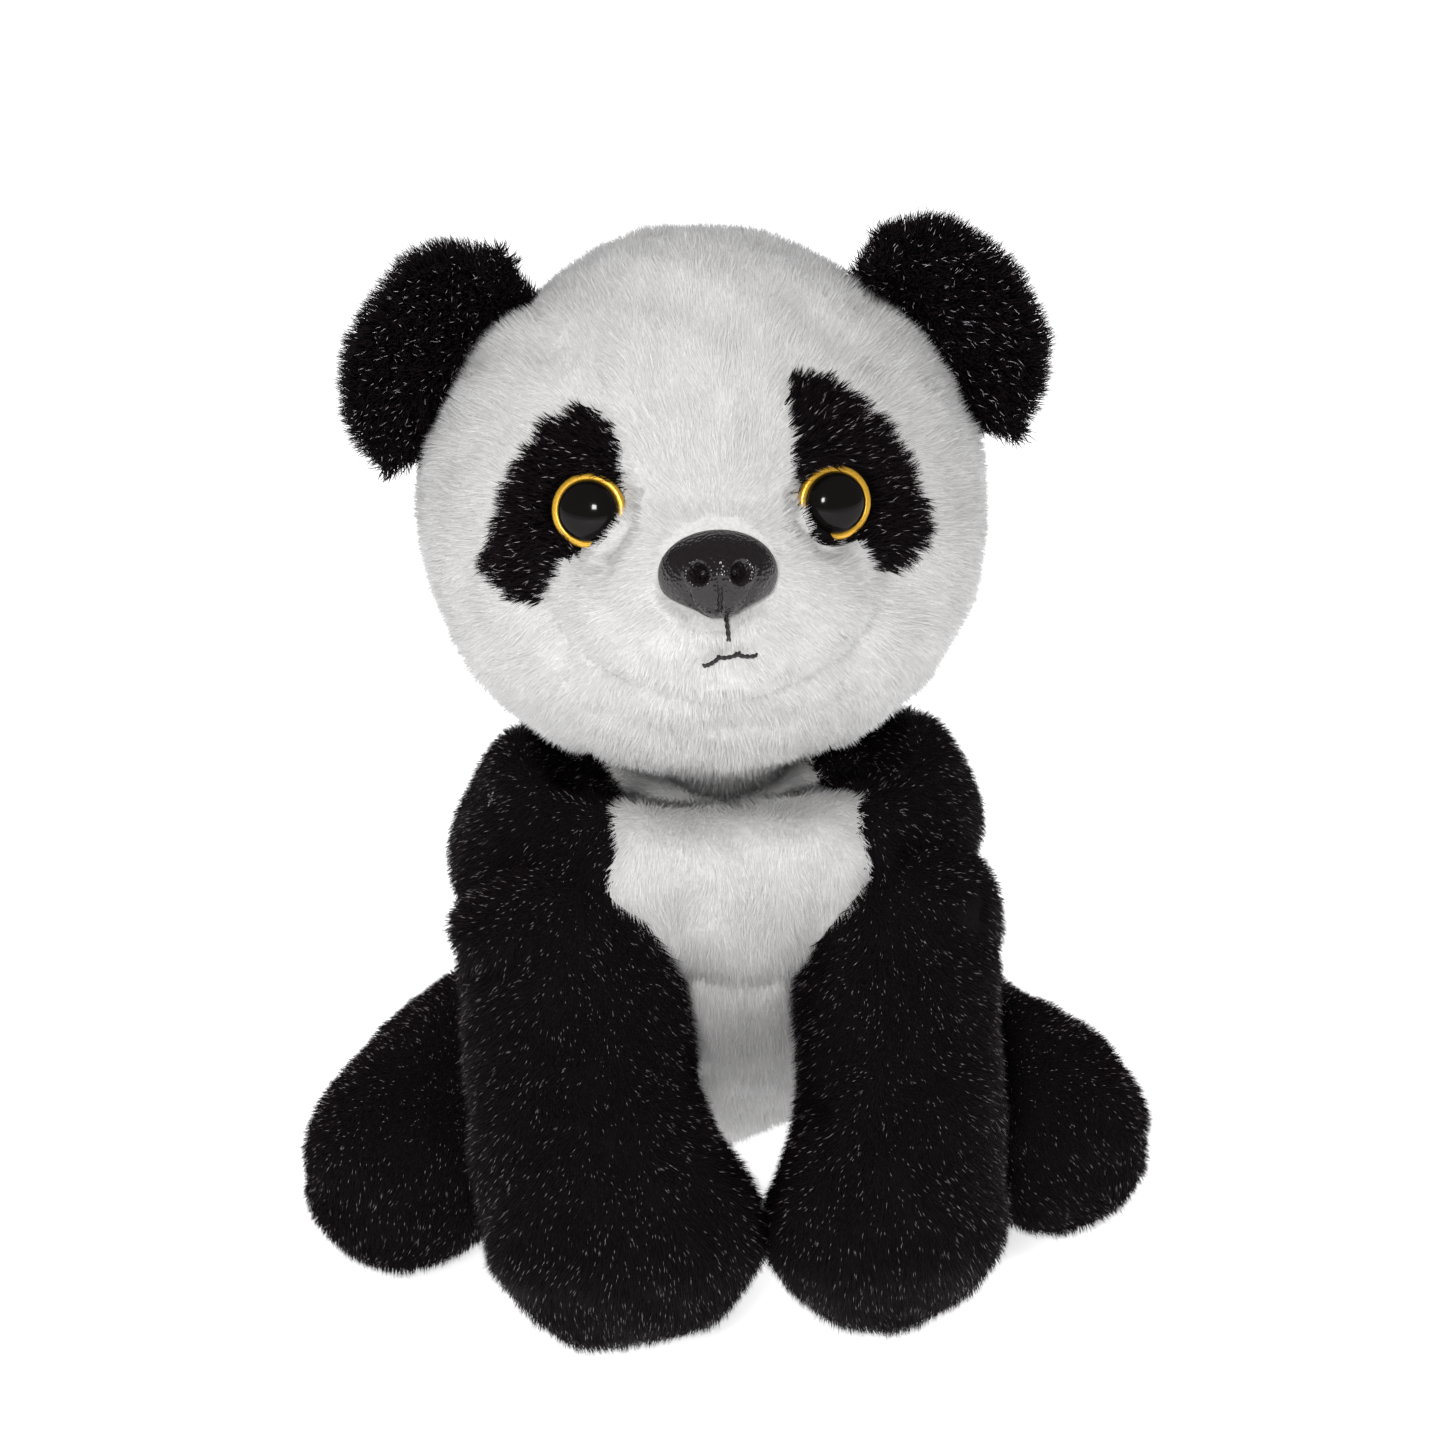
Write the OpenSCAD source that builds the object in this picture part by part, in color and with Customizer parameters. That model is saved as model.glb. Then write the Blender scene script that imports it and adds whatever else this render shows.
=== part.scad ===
// Seated plush panda: fur-fabric panels sewn over stuffed bodies, with moulded eyes and nose.
// The animal faces -Y, +X is its own left side, and the floor is z = 0 under the middle of the paws.
// Every panel is as thick as its backing cloth and pile together, so its outside is the pile's tips.

/* [Overall] */
// Height from the floor to the crown, which scales the whole toy
total_height = 205; // [120:1:400]
// Width of the head as a share of its standard width
head_width_ratio = 1; // [0.85:0.01:1.2]
// Girth of the front legs as a share of their standard girth
foreleg_girth_ratio = 1; // [0.8:0.01:1.2]
// Girth of the hind legs as a share of their standard girth
hindleg_girth_ratio = 1; // [0.8:0.01:1.2]
// Height of an ear from the head to its tip
ear_height = 18.5; // [12:0.5:28]

/* [Fabric] */
// Thickness of the white fur fabric, cloth and pile
white_fur = 3.6; // [2:0.1:6]
// Thickness of the black fur fabric, cloth and pile
black_fur = 4; // [2:0.1:6]
// Gap between the edges of two panels at a seam
seam_gap = 0.5; // [0.3:0.1:1]
// Gap between a panel and the stuffing behind it
stuffing_gap = 0.9; // [0.7:0.1:2]

/* [Face] */
// Diameter of a safety eye over its gold ring
eye_d = 14; // [10:0.1:18]
// Width of the moulded nose
nose_w = 21; // [16:0.1:26]
// Turn of the head to the animal's right
head_turn = 5; // [-10:1:10]
// Tilt of the head towards the animal's right shoulder
head_tilt = 1; // [-6:1:6]

/* [Joints] */
// Clearance between two bodies that turn against each other
joint_gap = 0.6; // [0.4:0.1:1.5]

/* [Hidden] */

white = [0.93, 0.93, 0.94];
black = [0.06, 0.05, 0.06];
fibre = [0.96, 0.96, 0.94];
gold = [0.85, 0.62, 0.12];
plastic = [0.03, 0.03, 0.03];

// The shapes below are laid out on a toy 205 mm tall, and k brings them to the height asked for.
k = total_height / 205;

// ---- Smooth skins --------------------------------------------------------------------------------
// A skin is a function of s, along a part, and t, the angle round it. A ring gives one section:
// [front rail y, front rail z, back rail y, back rail z, centre x, half width, lift of the sides].

function spline(a, b, c, d, f) =
    0.5 * ((2 * b) + (c - a) * f + (2 * a - 5 * b + 4 * c - d) * f * f
    + (3 * b - a - 3 * c + d) * f * f * f);

function ring_at(rings, s) =
    let (last = len(rings) - 1, i = min(floor(s), last - 1), f = s - i)
    spline(rings[max(i - 1, 0)], rings[i], rings[i + 1], rings[min(i + 2, last)], f);

function ring_point(rings, s, t) =
    let (
        r = ring_at(rings, s),
        front = [0, r[0], r[1]],
        back = [0, r[2], r[3]]
    )
    [r[4] + max(r[5], 0) * sin(t), 0, (len(r) > 6 ? r[6] : 0) * pow(sin(t), 2)]
    + (front + back) / 2 + (front - back) / 2 * cos(t);

function unit(v) = v / max(norm(v), 1e-9);

// Outward direction at a point of a skin, from two short steps along it.
function normal_at(f, s, t, s_in, flip) =
    let (
        sq = min(max(s, s_in[0] + 0.02), s_in[1] - 0.02),
        along = f(sq + 0.01, t) - f(sq - 0.01, t),
        round_it = f(sq, t + 1) - f(sq, t - 1)
    )
    unit(cross(along, round_it)) * flip;

// A closed piece over part of a skin: s and t each give [from, to, steps]. The piece reaches from
// depth[0] to depth[1] below the skin. With depth[1] undef the piece is solid and needs both poles.
// pole says which ends of s close to a point, and s_in is the range over which the skin is smooth.
module skin_piece(f, s, t, depth, pole = [false, false], around = false, s_in = [-9, 99], flip = 1) {
    cols = around ? t[2] : t[2] + 1;
    rows = s[2] + 1;
    count = rows * cols;
    hollow = depth[1] != undef;

    function s_of(i) = s[0] + (s[1] - s[0]) * i / s[2];
    function t_of(j) = t[0] + (t[1] - t[0]) * j / t[2];
    function place(i, j, d) =
        f(s_of(i), t_of(j)) - d * normal_at(f, s_of(i), t_of(j), s_in, flip);
    function id(i, j) =
        let (at_pole = (i == 0 && pole[0]) || (i == rows - 1 && pole[1]))
        i * cols + (at_pole ? 0 : (around ? j % cols : j));
    function tidy(list) =
        [for (q = list) if (q[0] != q[1] && q[1] != q[2] && q[0] != q[2]) q];
    function turned(list) = [for (q = list) [q[2], q[1], q[0]]];
    function wall(a, b) = [[a, b, b + count], [a, b + count, a + count]];

    outer = [for (i = [0:rows - 1]) for (j = [0:cols - 1]) place(i, j, depth[0])];
    inner = hollow
        ? [for (i = [0:rows - 1]) for (j = [0:cols - 1]) place(i, j, depth[1])]
        : [];
    cells = tidy([
        for (i = [0:rows - 2]) for (j = [0:t[2] - 1])
            for (q = [
                [id(i, j), id(i, j + 1), id(i + 1, j + 1)],
                [id(i, j), id(i + 1, j + 1), id(i + 1, j)]
            ]) q
    ]);
    low_edge = pole[0] ? [] : [for (j = [0:t[2] - 1]) for (q = wall(id(0, j + 1), id(0, j))) q];
    high_edge = pole[1] ? []
        : [for (j = [0:t[2] - 1]) for (q = wall(id(rows - 1, j), id(rows - 1, j + 1))) q];
    sides = around ? []
        : [for (i = [0:rows - 2]) for (q = concat(
            wall(id(i, 0), id(i + 1, 0)), wall(id(i + 1, cols - 1), id(i, cols - 1)))) q];
    under = [for (q = cells) [q[2] + count, q[1] + count, q[0] + count]];
    faces = hollow
        ? concat(cells, under, tidy(low_edge), tidy(high_edge), tidy(sides))
        : cells;
    polyhedron(concat(outer, inner), flip > 0 ? faces : turned(faces));
}

module oval(half_x, half_y, high) {
    linear_extrude(high) polygon([for (a = [0:12:348]) [half_x * cos(a), half_y * sin(a)]]);
}

// The other side of the toy is the mirror image of this one.
module on_side(side) {
    mirror([side < 0 ? 1 : 0, 0, 0]) children();
}

// ---- Places --------------------------------------------------------------------------------------
// Middle of the head, and the middle of the neck that it nods and turns on.
head_mid = [0, -5, 150];
neck_mid = [0, 0, 106];
// The head sits a little off the middle of the body, towards the animal's right.
head_shift = -3.5;
neck_r = 17;
// Balls at the tops of the front and hind legs, which turn in hollows of the torso.
shoulder_mid = [32, -27, 69];
shoulder_r = 20.5 * foreleg_girth_ratio;
hip_mid = [42, 26, 24];
hip_r = 22.5;
tail_mid = [0, 64, 26];
tail_r = 9.5;

// ---- Head ----------------------------------------------------------------------------------------
// The head's skin by lat, from the middle (0) to the ear side (90), and lon, from the front over the
// crown: the front is 0, the crown 90, the nape 180 and the throat -90.
head_x = 55 * head_width_ratio;
head_y = 51;
head_z = 53;

function bump(lat, lon, lat0, lon0, lat_r, lon_r, sharp) =
    exp(-pow(pow((lat - lat0) / lat_r, 2) + pow((lon - lon0) / lon_r, 2), sharp));

function near(lon) = lon > 180 ? lon - 360 : lon;

function head_radius(lat, lon) =
    let (
        d = [sin(lat), -cos(lat) * cos(lon), cos(lat) * sin(lon)],
        ball = 1 / norm([d[0] / head_x, d[1] / head_y, d[2] / head_z]),
        l = near(lon)
    )
    ball + 12 * bump(lat, l, 0, -3, 27, 21, 1.4)
    - 3.2 * bump(abs(lat), l, 33, 20, 13, 14, 1)
    + 2 * bump(abs(lat), l, 48, -38, 24, 24, 1);

function head_skin(lat, lon) =
    head_radius(lat, lon) * [sin(lat), -cos(lat) * cos(lon), cos(lat) * sin(lon)];

// Half width, in degrees, of the middle strip of panels between the two cheeks.
function strip(lon) = lookup(near(lon), [
    [-180, 25], [-122, 24], [-96, 25.5], [-70, 25], [-40, 31], [-10, 33], [12, 29],
    [24, 19], [50, 25], [80, 37], [100, 37], [140, 27], [180, 25]
]);
muzzle_top = 20;
muzzle_low = -38;
throat_front = -71;
throat_back = 239;
seam_deg = seam_gap * 0.55;

module at_head() {
    scale_all() translate(head_mid + [head_shift, 0, 0]) rotate([0, -head_tilt, -head_turn]) children();
}

module scale_all() {
    if (k == 1) children();
    else scale(k) children();
}

module eye_rooms() {
    for (side = [-1, 1]) on_side(side) eye_room();
}

// One panel of the middle strip, from one lon to another.
module middle_panel(from_lon, to_lon, rows, cols) {
    f = function (s, t) head_skin(t * (strip(s) - seam_deg), s);
    skin_piece(f, [from_lon + seam_deg, to_lon - seam_deg, rows], [-1, 1, cols],
        [0, white_fur], flip = -1);
}

// The gusset runs from the top of the muzzle over the crown and down to the nape.
module forehead_gusset() {
    color(white) at_head() middle_panel(muzzle_top, throat_back, 30, 8);
}

module muzzle_panel() {
    color(white) at_head()
        difference() {
            middle_panel(muzzle_low, muzzle_top, 10, 12);
            nose_room();
            eye_rooms();
        }
}

module chin_panel() {
    color(white) at_head() middle_panel(throat_front, muzzle_low, 5, 8);
}

module cheek_panel(side) {
    f = function (s, t) head_skin(90 - s * (90 - strip(t) - seam_deg), t);
    color(white) at_head() on_side(side)
        difference() {
            skin_piece(f, [0, 1, 9], [-90, 270, 40], [0, white_fur], [true, false], true,
                [0, 1], -1);
            eye_room();
        }
}

// The patch lies on the cheek, slanting outwards and down from its top.
patch_lat = 35;
patch_lon = 18;
patch_wide = 13.5;
patch_tall = 22;
patch_slant = 24;
patch_thick = 2.4;
patch_lift = 0.5;

module eye_patch(side) {
    f = function (s, t)
        let (
            across = s * patch_wide * cos(t),
            up = s * patch_tall * sin(t)
        )
        head_skin(
            patch_lat + across * cos(patch_slant) - up * sin(patch_slant),
            patch_lon + (across * sin(patch_slant) + up * cos(patch_slant)) / cos(patch_lat));
    color(black) at_head() on_side(side)
        difference() {
            skin_piece(f, [0, 1, 5], [0, 360, 24], [-patch_thick - patch_lift, -patch_lift],
                [true, false], true, [0, 1]);
            eye_room();
        }
}

module head_stuffing() {
    f = function (s, t) head_skin(s, t);
    color(fibre) difference() {
        at_head() difference() {
            skin_piece(f, [-90, 90, 18], [-90, 270, 30],
                [white_fur + stuffing_gap, undef], [true, true], true, [-90, 90]);
            eye_rooms();
            nose_room();
        }
        scale_all() neck_room();
    }
}

module neck_room() {
    translate(neck_mid) sphere(neck_r + joint_gap, $fn = 64);
}

// ---- Eyes ----------------------------------------------------------------------------------------
// A safety eye: a gold ring and a black dome on a shank that a washer locks inside the head.
eye_place = [22.6 * head_width_ratio, -39.3, 13];
eye_aim = [76, 0, 15];
shank_r = 2.1;
shank_l = 15;
back_plate = 1.2;
washer_t = 1.4;
washer_r = 7.5;
washer_depth = 10.5;
dome_r = eye_d / 2 - 1.3;

module at_eye() {
    translate(eye_place) rotate([0, 0, eye_aim[2]]) rotate([eye_aim[0], 0, 0]) children();
}

// What the eye needs of the fabric: a seat in front and a hole for the shank.
module eye_room() {
    at_eye() {
        translate([0, 0, -back_plate - 0.15]) cylinder(h = 14, r = eye_d / 2 + 0.15, $fn = 48);
        translate([0, 0, -shank_l - 0.3]) cylinder(h = shank_l, r = shank_r + 0.1, $fn = 32);
        translate([0, 0, -washer_depth - washer_t - 0.2])
            cylinder(h = washer_t + 0.4, r = washer_r + 0.2, $fn = 48);
    }
}

module eye_dome(side) {
    ball_r = (dome_r * dome_r + 4.4 * 4.4) / (2 * 4.4);
    color(plastic) at_head() on_side(side) at_eye()
        intersection() {
            translate([0, 0, 4.4 - ball_r]) sphere(ball_r, $fn = 64);
            translate([0, 0, 0.02]) cylinder(h = 5, r = dome_r, $fn = 64);
        }
}

module eye_ring(side) {
    color(gold) at_head() on_side(side) at_eye()
        rotate_extrude($fn = 64) {
            polygon([[dome_r + 0.03, 0.02], [eye_d / 2, 0.02], [eye_d / 2, 0.7],
                [eye_d / 2 - 0.4, 1.25], [dome_r + 0.03, 1.25]]);
        }
}

module eye_shank(side) {
    color(plastic) at_head() on_side(side) at_eye() {
        translate([0, 0, -back_plate]) cylinder(h = back_plate, r = eye_d / 2, $fn = 64);
        translate([0, 0, -shank_l]) cylinder(h = shank_l - back_plate + 0.01, r = shank_r, $fn = 32);
    }
}

module eye_washer(side) {
    color(white) at_head() on_side(side) at_eye()
        translate([0, 0, -washer_depth - washer_t])
            difference() {
                cylinder(h = washer_t, r = washer_r, $fn = 48);
                translate([0, 0, -1]) cylinder(h = washer_t + 2, r = shank_r + 0.05, $fn = 32);
            }
}

// ---- Nose and mouth ------------------------------------------------------------------------------
nose_place = [0, -58.5, 5.5];
nose_h = nose_w * 0.76;
nose_deep = 8.5;
nose_back = 2.2;
nose_washer_r = 6;
nose_washer_depth = 11.5;

// The nose by lat from its left to its right and lon round that axis, with a nostril on each side,
// a crease down its front and a narrow lower lobe.
function nose_skin(lat, lon) =
    let (
        d = [sin(lat), -cos(lat) * cos(lon), cos(lat) * sin(lon)],
        low = max(-d[2], 0),
        wide = nose_w / 2 * (1 - 0.45 * low * low),
        tall = nose_h / 2,
        deep = d[1] < 0 ? nose_deep : nose_back,
        ball = 1 / norm([d[0] / wide, d[1] / deep, d[2] / tall]),
        l = near(lon)
    )
    (ball - 1.6 * bump(abs(lat), l, 22, -2, 11, 12, 1)
    - 0.5 * bump(lat, l, 0, -40, 7, 40, 1)) * d;

module nose_room() {
    translate(nose_place) rotate([90, 0, 0]) {
        translate([0, 0, -nose_back - 0.3]) oval(nose_w / 2 + 0.4, nose_h / 2 + 0.4, 20);
        translate([0, 0, -16.3]) cylinder(h = 16, r = shank_r + 0.1, $fn = 32);
        translate([0, 0, -nose_washer_depth - washer_t - 0.2])
            cylinder(h = washer_t + 0.4, r = nose_washer_r + 0.2, $fn = 48);
    }
}

module nose() {
    color(plastic) at_head() translate(nose_place) {
        skin_piece(function (s, t) nose_skin(s, t), [-90, 90, 20], [-90, 270, 30], [0, undef],
            [true, true], true, [-90, 90]);
        rotate([90, 0, 0]) translate([0, 0, -16]) cylinder(h = 16, r = shank_r, $fn = 24);
    }
}

module nose_washer() {
    color(white) at_head() translate(nose_place) rotate([90, 0, 0])
        translate([0, 0, -nose_washer_depth - washer_t]) difference() {
            cylinder(h = washer_t, r = nose_washer_r, $fn = 48);
            translate([0, 0, -1]) cylinder(h = washer_t + 2, r = shank_r + 0.05, $fn = 32);
        }
}

thread_r = 0.45;

// A straight run of thread between two places.
module thread(a, b, r) {
    d = b - a;
    translate(a) rotate([0, acos(d[2] / norm(d)), atan2(d[1], d[0])])
        cylinder(h = norm(d), r = r, $fn = 12);
}

module mouth_stitches() {
    runs = [
        [[0.4, -10.2], [0, -13.4]],
        [[-4.6, -19.6], [-1.6, -17.4]],
        [[-1.2, -17.2], [1.4, -17.3]],
        [[1.8, -17.4], [5, -18.4]]
    ];
    color(plastic) at_head()
        for (run = runs)
            thread(mouth_point(run[0]), mouth_point(run[1]), thread_r);
}

// A place just proud of the muzzle's pile, from its x and z.
function mouth_point(p) =
    let (lon = atan2(p[1], 58), lat = atan2(p[0], 58))
    head_skin(lat, lon) * 1.012;

// ---- Ears ----------------------------------------------------------------------------------------
// An ear fans out of the head between two angles above the horizontal, cupped forwards.
ear_low = 11;
ear_high = 55;
// One ear sits a little higher than the other, as hand-placed ears do.
ear_stagger = 1.5;
// The upper end of an ear stands a little taller than its lower end.
ear_slope = 0.12;
ear_gap = 1.3;
ear_half = 5.4;

function ear_mid(s, t, side) =
    let (
        a = (ear_low + ear_high) / 2 + side * ear_stagger + t * (ear_high - ear_low) / 2,
        base = head_skin_xz(a),
        top = sqrt(max(1 - pow(abs(t) * 0.97, 2.8), 0)),
        up = ear_gap + s * ear_height * (0.15 + 0.85 * top) * (1 + ear_slope * t)
    )
    base + up * [cos(a), 0, sin(a)] + [0, 6 - 5 * s * s - 4 * t * t * s, 0];

// The head's outline seen from the front, by the angle above the horizontal.
function head_skin_xz(a) = 1 / norm([cos(a) / head_x, sin(a) / head_z]) * [cos(a), 0, sin(a)];

function ear_thick(s, t) =
    0.9 + (ear_half - 0.9) * sqrt(max(1 - pow(abs(t), 3), 0)) * sqrt(max(1 - pow(s, 5), 0))
    * (0.55 + 0.45 * min(s * 3, 1));

module ear_side(side, face) {
    outer = function (s, t) ear_mid(s, t, side) + [0, face * ear_thick(s, t), 0];
    color(black) at_head() on_side(side)
        ear_shell(outer, function (s, t) ear_mid(s, t, side) + [0, face * 0.2, 0], face);
}

// A closed piece between two faces of an ear.
module ear_shell(outer, inner, face) {
    rows = 7;
    cols = 13;
    function grid(f) = [for (i = [0:rows - 1]) for (j = [0:cols - 1])
        f(i / (rows - 1), -1 + 2 * j / (cols - 1))];
    function id(i, j) = i * cols + j;
    n = rows * cols;
    cells = [for (i = [0:rows - 2]) for (j = [0:cols - 2]) for (q = [
        [id(i, j), id(i, j + 1), id(i + 1, j + 1)],
        [id(i, j), id(i + 1, j + 1), id(i + 1, j)]]) q];
    rim = concat(
        [for (j = [0:cols - 2]) [id(0, j + 1), id(0, j)]],
        [for (j = [0:cols - 2]) [id(rows - 1, j), id(rows - 1, j + 1)]],
        [for (i = [0:rows - 2]) [id(i, 0), id(i + 1, 0)]],
        [for (i = [0:rows - 2]) [id(i + 1, cols - 1), id(i, cols - 1)]]);
    faces = concat(cells, [for (q = cells) [q[2] + n, q[1] + n, q[0] + n]],
        [for (e = rim) for (q = [[e[0], e[1], e[1] + n], [e[0], e[1] + n, e[0] + n]]) q]);
    polyhedron(concat(grid(outer), grid(inner)),
        face < 0 ? faces : [for (q = faces) [q[2], q[1], q[0]]]);
}

// ---- Torso ---------------------------------------------------------------------------------------
torso_rings = [
    [44, 4.5, 44, 4.5, 0, 0, 0],
    [28, 4.5, 58, 6, 0, 19, 0],
    [10, 12, 62, 20, 0, 31, 0],
    [-10, 28, 62, 36, 0, 39, 0],
    [-26, 45, 59, 52, 0, 44, 0],
    [-35, 62, 53, 68, 0, 48, 1],
    [-41, 78, 45, 82, 0, 51.5, 4],
    [-40, 88.5, 38, 91.5, 0, 51, 7.5],
    [-32, 95, 31, 98.5, 0, 44, 6],
    [-21, 95.5, 23, 99, 0, 30, 0],
    [-15, 93, 16, 95.5, 0, 16.5, 0],
    [1, 93, 1, 93, 0, 0, 0]
];
crease = 5;
bib_top = 10;
seat_ring = 1;

function torso_skin(s, t) = ring_point(torso_rings, s, t);
// Half width of the white front panels in degrees round the torso.
function front_half(s) = lookup(s, [[1, 40], [4, 34], [5, 28], [6, 33.5], [8, 37], [10, 50]]);
seam_s = seam_gap / 30;
seam_t = seam_gap / 0.9;

// The hollows of the torso follow the thickness of each leg down from its ball.
shoulder_path = [shoulder_mid, [32, -32, 62], [31.5, -38, 54], [31, -43, 47]];
// A thicker hind leg grows sideways only, so its hollow moves further in.
hip_inset = hip_r * (hindleg_girth_ratio - 1);
hip_path = [for (place = [hip_mid, [48, 14, 24], [48, 18, 30]]) place - [hip_inset, 0, 0]];

// Room for the legs and the tail, so that each can turn without touching the torso.
module torso_hollows() {
    for (side = [-1, 1]) on_side(side) {
        for (place = shoulder_path)
            translate(place) sphere(shoulder_r + joint_gap, $fn = 48);
        for (place = hip_path)
            translate(place) sphere(hip_r + joint_gap, $fn = 48);
    }
    translate(tail_mid) sphere(tail_r + joint_gap, $fn = 48);
}

module torso_panel(s, t_from, t_to, cols, thick) {
    f = function (s, t) torso_skin(s, t_from(s) + (t_to(s) - t_from(s)) * t);
    scale_all() difference() {
        skin_piece(f, s, [0, 1, cols], [0, thick], s_in = [0.5, 10.5], flip = -1);
        torso_hollows();
    }
}

module bib_panel() {
    color(white)
        torso_panel([crease + seam_s, bib_top, 10], function (s) -front_half(s) + seam_t,
            function (s) front_half(s) - seam_t, 10, white_fur);
}

module belly_panel() {
    color(white)
        torso_panel([seat_ring, crease - seam_s, 8], function (s) -front_half(s) + seam_t,
            function (s) front_half(s) - seam_t, 10, white_fur);
}

module shoulder_panel(side) {
    color(black) on_side(side)
        torso_panel([crease + seam_s, bib_top, 10], function (s) front_half(s),
            function (s) 180 - seam_t / 2, 14, black_fur);
}

module flank_panel(side) {
    color(white) on_side(side)
        torso_panel([seat_ring, crease - seam_s, 8], function (s) front_half(s),
            function (s) 180 - seam_t / 2, 14, white_fur);
}

// The flat oval base that the animal sits on.
module seat_panel() {
    color(white) scale_all() translate([0, 43, 0]) oval(18.5, 14.5, white_fur);
}

module torso_stuffing() {
    f = function (s, t) torso_skin(s, t);
    color(fibre) scale_all() difference() {
        skin_piece(f, [0, 11, 18], [0, 360, 30], [black_fur + stuffing_gap, undef],
            [true, true], true, [0.3, 10.7], -1);
        torso_hollows();
        neck_room();
    }
}

// The opening for the stuffing is closed by hand down the middle of the back.
stitch_lift = 0.75;

module closing_stitches() {
    color(white) scale_all()
        for (s = [3.3:0.2:4.5])
            thread(torso_skin(s, 178) + [0, stitch_lift, 0],
                torso_skin(s + 0.1, 182) + [0, stitch_lift, 0], thread_r);
}

module neck_stuffing() {
    color(fibre) scale_all() translate(neck_mid) sphere(neck_r, $fn = 64);
}

// ---- Front legs ----------------------------------------------------------------------------------
// From the pole of the ball, down the leg and round into the paw, which stands on a flat sole.
foreleg_way = [0, -0.575, -0.819];

function ball_ring(mid, r, way, a) =
    let (c = [mid[1], mid[2]] - r * cos(a) * way, up = [way[1], -way[0]] * r * sin(a))
    [c[0] + up[0], c[1] + up[1], c[0] - up[0], c[1] - up[1], mid[0], r * sin(a)];

// A thicker paw moves outwards, so that the two paws stay just clear of each other.
paw_shift = 24.8 * (foreleg_girth_ratio - 1);

foreleg_rings = let (g = foreleg_girth_ratio, way = [foreleg_way[1], foreleg_way[2]]) [
    ball_ring(shoulder_mid, shoulder_r, way, 0),
    ball_ring(shoulder_mid, shoulder_r, way, 35),
    ball_ring(shoulder_mid, shoulder_r, way, 65),
    ball_ring(shoulder_mid, shoulder_r, way, 90),
    [-37.4 - 16.6 * g, 54.3 + 11.6 * g, -37.4 + 16.6 * g, 54.3 - 11.6 * g, 31.5, 20 * g],
    [-47 - 17 * g, 40.5 + 12 * g, -47 + 17 * g, 40.5 - 12 * g, 30.5, 21 * g],
    [-73.5, 39, -36, 17, 26.5 + paw_shift, 24 * g],
    [-77.5, 21, -37, 9, 25.4 + paw_shift, 24.8 * g],
    [-70, 5.5, -43, 4, 25.5 + paw_shift, 18 * g]
];

module foreleg_side(side, t_from, t_to) {
    f = function (s, t) ring_point(foreleg_rings, s, t);
    color(black) scale_all() on_side(side)
        skin_piece(f, [0, 8, 16], [t_from + seam_t, t_to - seam_t, 12], [0, black_fur],
            [true, false], s_in = [0.3, 7.9], flip = 1);
}

// The flat oval sole that each paw stands on.
sole_mid = [25.5 + paw_shift, -56, 0];
sole_wide = 17.5 * foreleg_girth_ratio;
sole_long = 13;
sole_thick = 3.4;

module foreleg_sole(side) {
    color(black) scale_all() on_side(side)
        translate(sole_mid) oval(sole_wide, sole_long, sole_thick);
}

module foreleg_stuffing(side) {
    f = function (s, t) ring_point(foreleg_rings, min(s, 8), t) * min(9 - s, 1)
        + (sole_mid + [0, 0, sole_thick + 1.4]) * max(s - 8, 0);
    color(fibre) scale_all() on_side(side)
        skin_piece(f, [0, 9, 18], [0, 360, 20], [black_fur + stuffing_gap, undef], [true, true],
            true, [0.3, 7.9], 1);
}

// ---- Hind legs -----------------------------------------------------------------------------------
// Rails run along the top and the bottom, from the hip forwards and outwards to the toes.
function hind_ring(y, top, low, x, half) = [y, top, y, low, x, half];

hindleg_rings = let (g = hindleg_girth_ratio) [
    hind_ring(47.5, 25, 25, 40.5, 0),
    hind_ring(43.5, 37, 12, 40.5, 12.5 * g),
    hind_ring(37, 43, 5, 41, 18 * g),
    hind_ring(26, 45.5, 1, 42.5, 21.5 * g),
    hind_ring(10, 45, 0.3, 51, 22.5 * g),
    hind_ring(-6, 43.5, 0.1, 59, 23 * g),
    hind_ring(-20, 39, 1.5, 63.5, 19.5 * g),
    hind_ring(-28.5, 33, 6, 65.5, 13.5 * g),
    hind_ring(-33, 19.5, 19.5, 66.5, 0)
];

module hindleg_side(side, t_from, t_to) {
    f = function (s, t) ring_point(hindleg_rings, s, t);
    color(black) scale_all() on_side(side)
        skin_piece(f, [0, 8, 16], [t_from + seam_t, t_to - seam_t, 12], [0, black_fur],
            [true, true], s_in = [0.3, 7.7], flip = 1);
}

module hindleg_stuffing(side) {
    f = function (s, t) ring_point(hindleg_rings, s, t);
    color(fibre) scale_all() on_side(side)
        skin_piece(f, [0, 8, 16], [0, 360, 20], [black_fur + stuffing_gap, undef],
            [true, true], true, [0.3, 7.7], 1);
}

// ---- Tail ----------------------------------------------------------------------------------------
tail_rings = [
    [tail_mid[1] - 8, tail_mid[2], tail_mid[1] - 8, tail_mid[2], 0, 0],
    [tail_mid[1] - 5, tail_mid[2] + 6.5, tail_mid[1] - 6, tail_mid[2] - 6.5, 0, 6.5],
    [tail_mid[1] + 1, tail_mid[2] + 9, tail_mid[1] - 1, tail_mid[2] - 9, 0, 9],
    [tail_mid[1] + 8, tail_mid[2] + 7, tail_mid[1] + 7, tail_mid[2] - 9, 0, 8],
    [tail_mid[1] + 12, tail_mid[2] - 2, tail_mid[1] + 12, tail_mid[2] - 2, 0, 0]
];

module tail_cover() {
    f = function (s, t) ring_point(tail_rings, s, t);
    color(white) scale_all()
        skin_piece(f, [0.5, 4, 7], [0, 360, 16], [0, white_fur], [false, true], true, [0.3, 3.7],
            -1);
}

module tail_stuffing() {
    f = function (s, t) ring_point(tail_rings, s, t);
    color(fibre) scale_all()
        skin_piece(f, [0, 4, 8], [0, 360, 16], [white_fur + 0.3, undef], [true, true], true,
            [0.3, 3.7], -1);
}

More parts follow.
